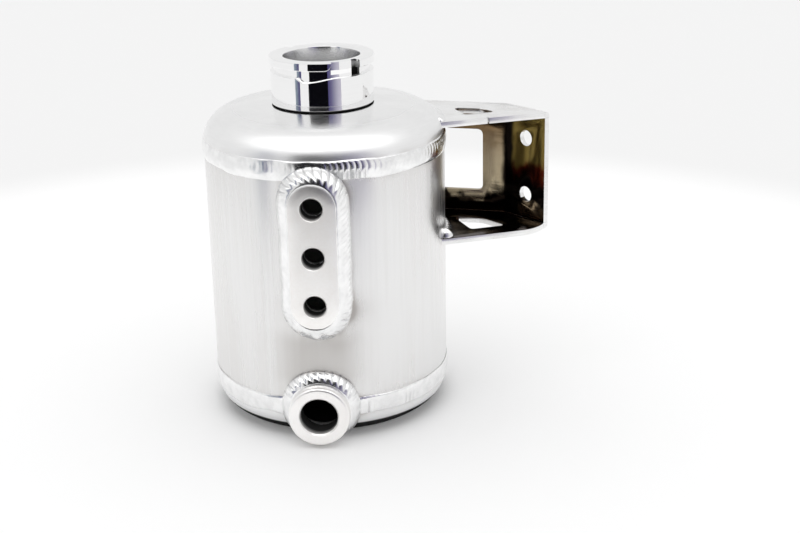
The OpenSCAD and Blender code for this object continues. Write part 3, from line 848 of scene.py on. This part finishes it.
def build_bung():
    bm = bmesh.new()
    around = 144
    angles = np.linspace(0, TAU, around, endpoint=False)
    profile = [(BUNG_R, FITTING_BACK_Y), (BUNG_R, BUNG_FACE_Y + BUNG_EDGE)]
    profile += [
        (BUNG_R - BUNG_EDGE * (1 - math.cos(t)), BUNG_FACE_Y + BUNG_EDGE * (1 - math.sin(t)))
        for t in np.radians((22, 45, 68, 90))
    ]
    face_rs = (BUNG_R - BUNG_EDGE - 0.6 * MM, BUNG.mouth_r + 0.3 * MM)
    profile += [(r, BUNG_FACE_Y) for r in face_rs]
    rings = [
        [(r * math.cos(a), y, BUNG_Z + r * math.sin(a)) for a in angles] for r, y in profile
    ]
    rings += thread_rings(BUNG_Z, BUNG_FACE_Y, BUNG, around)
    walls = rows(bm, rings)
    skin(bm, walls + walls[:1])
    obj = make_object("outlet_bung_body", bm, MACHINED, 32)
    darken_bores(obj, BUNG_FACE_Y + 0.7 * MM)
    return finish_piece(obj, "machined_fitting", "outlet_bung")


# --- Filler neck ---

NOTCH_START = -73.5
NOTCH_SWEEP = 34.5
POCKET_START = -47.0
POCKET_SWEEP = 13.0
RAMP_LOW = -103.0
RAMP_HIGH = -66.0


def softened(r, z, size, first, last, hold):
    """Five points round a corner at (r, z), from the side first to the side last, with one
    beyond each end that keeps the flats flat."""
    near, far = np.array(first), np.array(last)
    ends = size + hold
    steps = ((near, ends), (near, size), (near + far, size * 0.3), (far, size), (far, ends))
    return [(r + way[0] * run, z + way[1] * run) for way, run in steps]


def neck_shape(polar):
    """The neck's section at a polar angle in radians: ramp, cam flange and entry notch."""
    degrees = math.degrees(polar)
    after_notch = (degrees - NOTCH_START) % 180
    before_notch = (NOTCH_START - degrees) % 180
    ramp_at = (degrees - RAMP_LOW) % 180
    rise = RAMP_RISE * float(smoothstep(0, RAMP_HIGH - RAMP_LOW, ramp_at))
    rise *= 1 - float(smoothstep(168, 178, ramp_at))
    in_notch = after_notch < NOTCH_SWEEP
    under_z = RIM_Z - FLANGE_H
    round_r = 3.6 * MM
    edge = before_notch * math.pi / 180 * FLANGE_R
    if not in_notch and edge < round_r:
        under_z += round_r - math.sqrt(max(round_r**2 - (round_r - edge) ** 2, 0))
    floor_z = RIM_Z - FLANGE_H - GROOVE_H + rise
    in_pocket = (degrees - POCKET_START) % 180 < POCKET_SWEEP
    root_r = GROOVE_R - 1.4 * MM if in_pocket else GROOVE_R
    flange_r = root_r + 0.02 * MM if in_notch else FLANGE_R
    soft = 0.01 * MM if in_notch else 0.35 * MM
    top_soft = min(0.5 * MM, flange_r - root_r)
    foot_z = crown_z(NECK_R) + NECK_GAP
    soft_edge = 0.3 * MM
    hold = 0.06 * MM
    return [
        (SPIGOT_R, foot_z + 0.2 * MM),
        (SPIGOT_R + 0.6 * MM, foot_z),
        *softened(NECK_R, foot_z, soft_edge, (-1, 0), (0, 1), hold)[1:],
        *softened(NECK_R, floor_z, soft_edge, (0, -1), (-1, 0), hold),
        *softened(root_r, floor_z, soft_edge, (1, 0), (0, 1), hold),
        (root_r, under_z - 0.02 * MM),
        (flange_r - soft, under_z),
        (flange_r - soft * 0.3, under_z + soft * 0.3),
        (flange_r, under_z + soft),
        (flange_r, under_z + soft + hold * 0.5),
        (flange_r, max(RIM_Z - 0.5 * MM - hold, under_z + soft + hold * 0.6)),
        (flange_r, max(RIM_Z - 0.5 * MM, under_z + soft + hold * 0.7)),
        (flange_r - top_soft * 0.3, max(RIM_Z - 0.15 * MM, under_z + soft + hold * 0.8)),
        (flange_r - top_soft, RIM_Z),
        (flange_r - top_soft - hold, RIM_Z),
        (GROOVE_R - 1.6 * MM, RIM_Z),
        (NECK_BORE_R + 1.1 * MM, RIM_Z),
        (NECK_BORE_R + 0.7 * MM, RIM_Z - 0.12 * MM),
        (NECK_BORE_R + 0.15 * MM, RIM_Z - 0.6 * MM),
        (NECK_BORE_R, RIM_Z - 1.1 * MM),
        (NECK_BORE_R, NECK_SEAT_Z + 0.3 * MM),
        (NECK_BORE_R - 0.3 * MM, NECK_SEAT_Z),
        (NECK_SEAT_R + 0.3 * MM, NECK_SEAT_Z),
        (NECK_SEAT_R, NECK_SEAT_Z - 0.3 * MM),
        (NECK_SEAT_R, NECK_LO.z),
        (SPIGOT_R, NECK_LO.z),
    ]


def build_neck():
    """Rings at even angles, with extra ones at the notch's square ends."""
    angles = set(np.linspace(0, 360, 720, endpoint=False).round(4))
    for side in (0, 180):
        for edge, sweep in ((NOTCH_START, NOTCH_SWEEP), (POCKET_START, POCKET_SWEEP)):
            for nudge in (-0.02, 0.02, sweep - 0.02, sweep + 0.02):
                angles.add(round((edge + side + nudge) % 360, 4))
        for back in np.linspace(0.05, 8, 24):
            angles.add(round((NOTCH_START + side - back) % 360, 4))
    rings = []
    for degrees in sorted(angles):
        a = math.radians(degrees)
        rings.append([(r * math.cos(a), r * math.sin(a), z) for r, z in neck_shape(a)])
    obj = loft("neck_body", rings, POLISHED, sharp=28)
    points = points_of(obj)
    radius = radius_of(points)
    # Painted shade: the bore below the rim is painted a darker grey.
    bore = (radius < NECK_BORE_R + 0.05 * MM) & (points[:, 2] < RIM_Z - 0.8 * MM)
    set_attribute(obj, "stain_and_shade", bore.astype(float))
    # Painted shade, near black, on the foot in the gap over the cap and in the notch's deep pocket.
    hidden = points[:, 2] < crown_z(NECK_R) + NECK_GAP + 0.1 * MM
    polar = np.degrees(np.arctan2(points[:, 1], points[:, 0])) % 180
    pocket = (polar > POCKET_START % 180) & (polar < (POCKET_START + POCKET_SWEEP) % 180)
    pocket &= (radius < GROOVE_R - 0.6 * MM) & (radius > NECK_BORE_R + 2 * MM)
    pocket &= points[:, 2] < RIM_Z - 0.6 * MM
    set_attribute(obj, "painted_shade", (hidden | pocket).astype(float))
    return finish_piece(obj, "polished_neck", "filler_neck")


# --- Bracket ---

BOLT_EDGE = 14.1 * MM
BOLT_PITCH = 31.75 * MM
BOLT_R = 4.35 * MM
WINDOW_H = 35 * MM
WINDOW_W = 27 * MM
WINDOW_EDGE = 12.9 * MM
WINDOW_R = 3.5 * MM
# How far the cutout keeps from the tank, the back edge, the end plate and the front edge
CUTOUT_TO_TANK = 9 * MM
CUTOUT_TO_BACK = 13.5 * MM
CUTOUT_TO_END = 17 * MM
CUTOUT_TO_FRONT = 11.6 * MM
CUTOUT_RADII = [2.5 * MM, 8 * MM, 2.5 * MM, 2.5 * MM]
TANK_SIDE_ANGLE = -66
SLOT_AT = 32 * MM
SLOT_HALF = 0.4 * MM
SLOT_DEPTH = 2.4 * MM
LOW_CORNER_R = 20 * MM
SEAM_CORNER_R = 2.2 * MM
REAR_LEG = 4 * MM


def cross2(u, v):
    return u[0] * v[1] - u[1] * v[0]


def meet(p, a, q, b):
    """Where the line through p at the angle a crosses the line through q at the angle b."""
    return p + direction(a) * cross2(q - p, direction(b)) / cross2(direction(a), direction(b))


def rounded(points, radii):
    """A closed outline with each corner rounded by its own radius."""
    result = []
    count = len(points)
    for i, (corner, radius) in enumerate(zip(points, radii)):
        before = points[i - 1] - corner
        after = points[(i + 1) % count] - corner
        before /= np.linalg.norm(before)
        after /= np.linalg.norm(after)
        if radius <= 0:
            result.append(corner)
            continue
        half = math.acos(np.clip(before @ after, -1, 1)) / 2
        reach = radius / math.tan(half)
        start, end = corner + before * reach, corner + after * reach
        for t in np.linspace(0, 1, 7):
            result.append((1 - t) ** 2 * start + 2 * t * (1 - t) * corner + t * t * end)
    return result


def flat_solid(name, outline, holes, low, high, cuts=(), bend=None):
    """A flat plate between two levels, with softened edges. cuts are places along X where it
    is sliced so that bend can curve it."""
    bm = bmesh.new()
    loops = [[bm.verts.new((p[0], p[1], low)) for p in loop] for loop in [outline, *holes]]
    fill_between(bm, loops[0], loops[1:])
    bmesh.ops.dissolve_limit(bm, angle_limit=0.01, verts=bm.verts[:], edges=bm.edges[:])
    extruded = bmesh.ops.extrude_face_region(bm, geom=bm.faces[:])
    lifted = [g for g in extruded["geom"] if isinstance(g, bmesh.types.BMVert)]
    bmesh.ops.translate(bm, verts=lifted, vec=(0, 0, high - low))
    bmesh.ops.recalc_face_normals(bm, faces=bm.faces)
    sharp = [e for e in bm.edges if e.is_manifold and e.calc_face_angle(0) > 1.0]
    bmesh.ops.bevel(bm, geom=sharp, offset=0.25 * MM, segments=2, profile=0.6, affect="EDGES")
    for x in cuts:
        everything = bm.verts[:] + bm.edges[:] + bm.faces[:]
        bmesh.ops.bisect_plane(bm, geom=everything, plane_co=(x, 0, 0), plane_no=(1, 0, 0))
    if bend is not None:
        for v in bm.verts:
            v.co = bend(v.co)
    return make_object(name, bm, SHEET_OUT, 30)


def toward_tank(p, angle, radius):
    """Signed run from p along the angle to the crossing with the tank that is nearer p."""
    along = float(p @ direction(angle))
    return -along + math.sqrt(along * along - float(p @ p) + radius * radius)


def tank_hit(p, angle, radius):
    return p + toward_tank(p, angle, radius) * direction(angle)


FOLD_TANGENT = FOLD_R * math.tan(math.radians((BACK_ANGLE - END_ANGLE) / 2))
FOLD_START = FOLD - FOLD_TANGENT * direction(BACK_ANGLE)
FOLD_END = FOLD + FOLD_TANGENT * direction(END_ANGLE)
FOLD_CENTRE = FOLD_START - FOLD_R * left_of(BACK_ANGLE)
FOLD_RUN = FOLD_R * math.radians(BACK_ANGLE - END_ANGLE)
WEB_END = FOLD_RUN + END_LEN - FOLD_TANGENT


def web_point(run, out):
    """Plan point of the folded web: run along its inner face from the fold, and out from
    that face through the sheet."""
    if run < 0:
        return FOLD_START + run * direction(BACK_ANGLE) + out * left_of(BACK_ANGLE)
    if run < FOLD_RUN:
        angle = BACK_ANGLE - math.degrees(run / FOLD_R)
        return FOLD_CENTRE + (FOLD_R + out) * left_of(angle)
    return FOLD_END + (run - FOLD_RUN) * direction(END_ANGLE) + out * left_of(END_ANGLE)


def bend_web(co):
    x, y = web_point(co.x, co.z)
    return Vector((x, y, co.y))


def circle_loop(x, y, radius):
    count = 48
    return [np.array([x + p, y + q]) for p, q in arc((0, 0), radius, 0, 360 - 360 / count, count)]


def web_start(radius):
    """Run at which the web's outer face reaches the radius round the tank axis."""
    outer = FOLD_START + SHEET * left_of(BACK_ANGLE)
    return toward_tank(outer, BACK_ANGLE, radius)


def build_web():
    low, high = BRACKET_Z0 + SHEET, BRACKET_Z1 - SHEET
    start = web_start(TUBE_R - 0.5 * MM)
    outline = [np.array(p) for p in ((start, low), (WEB_END, low), (WEB_END, high), (start, high))]
    near = -WINDOW_EDGE + FOLD_TANGENT
    corners = [
        np.array([near - WINDOW_W * i, BRACKET_MID_Z + WINDOW_H * k / 2])
        for i, k in ((0, -1), (0, 1), (1, 1), (1, -1))
    ]
    holes = [rounded(corners, [WINDOW_R] * 4)]
    for side in (-1, 1):
        holes.append(
            circle_loop(WEB_END - BOLT_EDGE, BRACKET_MID_Z + side * BOLT_PITCH / 2, BOLT_R)
        )
    cuts = np.concatenate([np.linspace(0, FOLD_RUN, 9), [near - WINDOW_W * 0.5]])
    obj = flat_solid("bracket_web_sheet", outline, holes, 0, SHEET, cuts, bend_web)
    tint_inside(obj)
    return finish_piece(obj, "bracket_sheet", "bracket_web")


def cutout(front):
    """The lightening hole of a plate, its back edge swept round towards the end plate."""
    tank_side = (TUBE_R + CUTOUT_TO_TANK) * left_of(TANK_SIDE_ANGLE)
    back = FOLD - CUTOUT_TO_BACK * left_of(BACK_ANGLE)
    end = END_EDGE - CUTOUT_TO_END * left_of(END_ANGLE)
    near = front + CUTOUT_TO_FRONT * left_of(FRONT_ANGLE)
    corners = [
        meet(tank_side, TANK_SIDE_ANGLE, back, BACK_ANGLE),
        meet(back, BACK_ANGLE, end, END_ANGLE),
        meet(end, END_ANGLE, near, FRONT_ANGLE),
        meet(near, FRONT_ANGLE, tank_side, TANK_SIDE_ANGLE),
    ]
    return rounded(corners, CUTOUT_RADII)


def build_plate(name, node, front, low, top):
    """A bracket plate in plan: tank arc, back edge, fold, end edge and front edge."""
    inner = (tank_r(BRACKET_Z1) - 1.4 * MM) if top else TUBE_R - 1.2 * MM
    first = polar_of(tank_hit(front, FRONT_ANGLE, inner))
    last = polar_of(tank_hit(FOLD, BACK_ANGLE, inner))
    outline = [np.array(p) for p in arc((0, 0), inner, first, last, 30)]
    outline += [web_point(run, 0) for run in np.linspace(0, FOLD_RUN, 9)]
    outline.append(END_EDGE)
    if top:
        slot = END_EDGE - SLOT_AT * direction(FRONT_ANGLE)
        half = SLOT_HALF * direction(FRONT_ANGLE)
        deep = SLOT_DEPTH * left_of(FRONT_ANGLE)
        outline += [slot + half, slot + half + deep, slot - half + deep, slot - half]
    else:
        run = math.sqrt(2 * LOW_CORNER_R * LOW_ADVANCE - LOW_ADVANCE**2)
        begin = front - run * direction(FRONT_ANGLE)
        centre = begin + LOW_CORNER_R * left_of(FRONT_ANGLE)
        last = polar_of(END_EDGE - centre)
        outline += [np.array(p) for p in arc(centre, LOW_CORNER_R, last, FRONT_ANGLE - 90, 16)[1:]]
    obj = flat_solid(name, outline, [cutout(front)], low, low + SHEET)
    tint_inside(obj)
    return finish_piece(obj, "bracket_sheet", node)


def tint_inside(obj):
    """Marks the bracket's inner faces, which are polished and carry painted reflection and painted
    shade.
    """
    mesh = obj.data
    normals, centres = np.zeros((2, len(mesh.polygons), 3))
    mesh.polygons.foreach_get("normal", normals.ravel())
    mesh.polygons.foreach_get("center", centres.ravel())
    middle = np.array([TUBE_R + 20 * MM, 22 * MM, BRACKET_MID_Z])
    faces_in = ((middle - centres) * normals).sum(1)
    within = (centres[:, 2] > BRACKET_Z0 + 0.5 * MM) & (centres[:, 2] < BRACKET_Z1 - 0.5 * MM)
    flat = np.abs(normals[:, 2]) > 0.9
    inward = (faces_in > 4 * MM) & (within | flat)
    set_attribute(obj, "inside", inward, "FACE")


def seam_bead(name, node, low, up):
    """Ground weld along the web and a plate, its outer corner rounded and lightly rippled."""
    start = web_start(TUBE_R - 0.5 * MM)
    runs = np.linspace(start, WEB_END, 260)
    rings = []
    for i, run in enumerate(runs):
        wave = 0.05 * MM * (math.sin(i * 0.362) + math.sin(i * 0.9))
        corner = arc((SHEET - SEAM_CORNER_R,) * 2, SEAM_CORNER_R + wave, 0, 90, 6)
        section = [(-0.15 * MM, 0), (SHEET + wave, 0), *corner, (-0.15 * MM, SHEET)]
        ring = []
        for w, h in section:
            x, y = web_point(run, w)
            ring.append((x, y, low + h if up else low + SHEET - h))
        rings.append(ring)
    obj = loft(name, rings, SHEET_OUT, wrap=False, sharp=40)
    set_attribute(obj, "inside", np.zeros(len(obj.data.polygons)), "FACE")
    return finish_piece(obj, "weld_bead", node)


def saddle_bead(name, node, z, front, size, blob):
    """Fillet on a plate along the tank, with a shiny blob where it was started at the front."""
    first = polar_of(tank_hit(front, FRONT_ANGLE, tank_r(z))) + 1.5
    last = polar_of(tank_hit(FOLD, BACK_ANGLE, tank_r(z))) - 0.5
    degrees = np.linspace(first, last, 240)
    along = np.radians(degrees - first) * TUBE_R
    taper = np.sqrt(np.clip(1 - (1 - np.clip(along / (3.2 * MM), 0, 1)) ** 2, 0.02, 1))
    swell = 1 + blob * np.exp(-(((along - 3.6 * MM) / (3.4 * MM)) ** 2))
    leg = size * swell * taper
    tops, feet, ways, buried = [], [], [], []
    for d, side in zip(degrees, leg):
        n = direction(d)
        wall = tank_r(z + side)
        tops.append((*(n * (wall - 0.05 * MM)), z + side))
        feet.append((*(n * (tank_r(z) + side)), z - 0.05 * MM))
        ways.append(np.array([n[0], n[1], 1]) * (0.22 * side))
        buried.append((*(n * (tank_r(z) - 1.0 * MM)), z - 1.0 * MM))
    lengths = along / MM

    def bump(station, s):
        wave = ripple(lengths[station] / SADDLE_RIPPLE + 0.6 * (1 - s) ** 2)
        calm = smoothstep(4, 9, lengths[station])
        return wave * 0.4 * MM * (0.1 + 0.9 * calm) * taper[station]

    obj = bead(name, tops, feet, ways, buried, bump, wrap=False, across=14)
    return finish_piece(obj, "weld_bead", node)


def rear_bead():
    """Vertical bead outside the back plate where it meets the tank."""
    count = 200
    levels = np.linspace(BRACKET_Z0 + 0.5 * MM, BRACKET_Z1 - 1.0 * MM, count)
    tops, feet, ways, buried = [], [], [], []
    for z in levels:
        end = min(z - levels[0], levels[-1] - z)
        leg = REAR_LEG * math.sqrt(np.clip(1 - (1 - min(end / (3 * MM), 1)) ** 2, 0.02, 1))
        wall = tank_r(z) - 0.05 * MM
        outer = FOLD_START + (SHEET - 0.05 * MM) * left_of(BACK_ANGLE)
        corner = tank_hit(outer, BACK_ANGLE, wall)
        polar = polar_of(corner)
        on_wall = wall * direction(polar + math.degrees(leg / wall))
        on_plate = corner + leg * direction(BACK_ANGLE)
        tops.append((*on_wall, z))
        feet.append((*on_plate, z))
        way = direction(polar) + left_of(BACK_ANGLE)
        ways.append(np.array([way[0], way[1], 0]) * (0.15 * leg))
        buried.append((*(corner - 1.2 * MM * way), z))
    lengths = levels / MM

    def bump(station, s):
        wave = ripple(lengths[station] / REAR_RIPPLE + 0.6 * (s - 0.5) ** 2)
        return wave * 0.35 * MM * (station > 3) * (station < count - 4)

    obj = bead("bracket_rear_bead", tops, feet, ways, buried, bump, wrap=False, across=14)
    return finish_piece(obj, "weld_bead", "bracket_rear_tank_weld")


def neck_bead():
    """The weld under the neck, deep in its shadow gap."""
    angles = np.linspace(0, TAU, 360, endpoint=False)
    out = spokes(angles)
    z = crown_z(SPIGOT_R)
    tops = out * (SPIGOT_R - 0.1 * MM) + (0, 0, z + 1.25 * MM)
    feet = out * (SPIGOT_R + 1.5 * MM) + (0, 0, z - 0.2 * MM)
    buried = out * (SPIGOT_R - 0.5 * MM) + (0, 0, z - 0.8 * MM)
    ways = (out + (0, 0, 1)) * 0.12 * MM
    around = angles * SPIGOT_R / MM

    def bump(station, s):
        return ripple(around[station] / NECK_RIPPLE) * 0.15 * MM * (s > 0)

    obj = bead("neck_bead", tops, feet, ways, buried, bump, across=8)
    # Painted shade: the whole bead is painted near black, as it sits in the shadow gap.
    set_attribute(obj, "stain_and_shade", np.ones(len(obj.data.vertices)))
    return finish_piece(obj, "weld_bead", "neck_weld")


# --- The tank, piece by piece ---

# Where the girth welds ripple strongly: from and to, in polar degrees, and how much
TOP_STRONG = [
    (276, 292, 0.85), (290, 345, 0.3), (340, 362, 0.6), (0, 24, 0.6), (80, 170, 0.6)
]
LOW_STRONG = [(286, 312, 0.35), (20, 170, 0.6)]

build_tube()
build_caps()
girth_bead("top_girth_bead", TUBE_Z1, "top_girth_weld", 3, TOP_STRONG)
girth_bead("bottom_girth_bead", TUBE_Z0, "bottom_girth_weld", 11, LOW_STRONG)
build_block()
block_weld()
build_bung()
bung_weld()
build_neck()
neck_bead()
build_web()
build_plate("top_plate_sheet", "bracket_top_plate", END_EDGE, BRACKET_Z1 - SHEET, True)
build_plate("low_plate_sheet", "bracket_bottom_plate", LOW_FRONT, BRACKET_Z0, False)
seam_bead("top_seam_bead", "bracket_top_seam_weld", BRACKET_Z1 - SHEET, True)
seam_bead("low_seam_bead", "bracket_bottom_seam_weld", BRACKET_Z0, False)
saddle_bead("top_saddle_bead", "bracket_top_tank_weld", BRACKET_Z1, END_EDGE, 2.2 * MM, 0.1)
low_z = BRACKET_Z0 + SHEET
saddle_bead("low_saddle_bead", "bracket_bottom_tank_weld", low_z, LOW_FRONT, 3.2 * MM, 0.55)
rear_bead()

INSIDE = {"baffle_disc": INNER, "baffle_tabs": INNER, "return_deflector": INNER}
for node, material in {**INSIDE, "deflector_welds": WELD}.items():
    inner = bpy.data.objects[node]
    inner.data.materials.clear()
    inner.data.materials.append(material)


# --- Studio ---

SURROUND = 0.86
SOFTBOX = 2.0
SKY_LOW = 0.2
SKY_HIGH = 1.42
BACKGROUND = 0.905
PAPER_NEAR = 0.905
PAPER_FAR = 0.80
PAPER_FADE = (0.44, 0.54)
FLOOR_REACH = 6.0
FLOOR_Z = -0.0002
FLAG_TOP = 0.42
CAMERA_AT = Vector((83.1, -750.4, 343.5)) * MM
CAMERA_TURN = (-3.391, 19.769, -1.156)
LENS = 66.084
DARK = (0.004, 0.004, 0.006, 1)
VIOLET = (0.10, 0.09, 0.22, 1)
PALE = (0.62, 0.60, 0.70, 1)
SKY_BLUE = (0.30, 0.36, 0.42, 1)

scene = bpy.context.scene
scene.view_settings.view_transform = "Standard"


def camera_matrix(place, yaw, pitch, roll):
    """A camera at place, turned yaw from +Y, tilted pitch down and rolled, in degrees."""
    yaw, pitch, roll = (math.radians(a) for a in (yaw, pitch, roll))
    flat = math.cos(pitch)
    forward = Vector((math.sin(yaw) * flat, math.cos(yaw) * flat, -math.sin(pitch)))
    level = Vector((math.cos(yaw), -math.sin(yaw), 0))
    up = level.cross(forward)
    right = math.cos(roll) * level + math.sin(roll) * up
    above = math.cos(roll) * up - math.sin(roll) * level
    matrix = Matrix((right, above, -forward)).transposed().to_4x4()
    matrix.translation = place
    return matrix


lens = bpy.data.cameras.new("view")
lens.lens = LENS
lens.sensor_width = 36
lens.clip_start = 0.01
lens.clip_end = 100
camera = bpy.data.objects.new("view", lens)
camera.matrix_world = camera_matrix(CAMERA_AT, *CAMERA_TURN)
scene.collection.objects.link(camera)
scene.camera = camera


def paper():
    """Matt studio paper, with painted shade that makes it a little darker away from the tank."""
    material, tree, shader = new_material("paper")
    shader.inputs["Roughness"].default_value = 0.9
    shader.inputs["Specular IOR Level"].default_value = 0.1
    away = ramp(tree, length_of(tree, place_in(tree)), *PAPER_FADE)
    colour = mix_colour(tree, away, grey(PAPER_NEAR), grey(PAPER_FAR))
    tree.links.new(colour, shader.inputs["Base Color"])
    return material


def card(name, corners, material):
    """A flat studio card through the corners."""
    mesh = bpy.data.meshes.new(name)
    mesh.from_pydata([Vector(c) for c in corners], [], [tuple(range(len(corners)))])
    mesh.materials.append(material)
    obj = bpy.data.objects.new(name, mesh)
    scene.collection.objects.link(obj)
    return obj


def shaded_card(name, first, second, low, left, right):
    """An upright card out of the camera's sight, its tint running from left to right."""
    material, tree, shader = new_material(name)
    shader.inputs["Specular IOR Level"].default_value = 0
    along = add_node(tree, "ShaderNodeSeparateXYZ", {0: place_in(tree)}).outputs["X"]
    colour = mix_colour(tree, ramp(tree, along, first[0], second[0]), left, right)
    tree.links.new(colour, shader.inputs["Base Color"])
    corners = [(*first, low), (*second, low), (*second, FLAG_TOP), (*first, FLAG_TOP)]
    obj = card(name, corners, material)
    obj.visible_camera = False
    obj.visible_diffuse = False
    obj.visible_shadow = False


floor_corners = [
    (x * FLOOR_REACH, y * FLOOR_REACH, FLOOR_Z) for x, y in ((-1, -1), (1, -1), (1, 1), (-1, 1))
]
card("floor", floor_corners, paper())
shaded_card("flag_left", (-0.41, -0.29), (-0.345, -0.37), 0.001, SKY_BLUE, VIOLET)
shaded_card("flag_middle", (-0.205, -0.46), (0.15, -0.46), 0.012, DARK, DARK)
shaded_card("flag_right", (0.15, -0.46), (0.36, -0.34), 0.001, VIOLET, PALE)

world = bpy.data.worlds.new("studio")
world.use_nodes = True
tree = world.node_tree
backdrop = tree.nodes["Background"]
toward = add_node(tree, "ShaderNodeTexCoord").outputs["Generated"]
way = add_node(tree, "ShaderNodeSeparateXYZ", {0: toward})
path = add_node(tree, "ShaderNodeLightPath")
front = ramp(tree, way.outputs["Y"], 0.25, -0.25)
softbox = times(tree, ramp(tree, way.outputs["Z"], 0.40, 0.95), front)
surround = mix_colour(tree, softbox, grey(SURROUND), grey(SOFTBOX))
overhead = ramp(tree, way.outputs["Z"], 0.1, 0.9)
overhead = mix_colour(tree, overhead, grey(SKY_LOW), grey(SKY_HIGH))
light = mix_colour(tree, path.outputs["Is Diffuse Ray"], surround, overhead)
seen = mix_colour(tree, path.outputs["Is Camera Ray"], light, grey(BACKGROUND))
tree.links.new(seen, backdrop.inputs["Color"])
scene.world = world
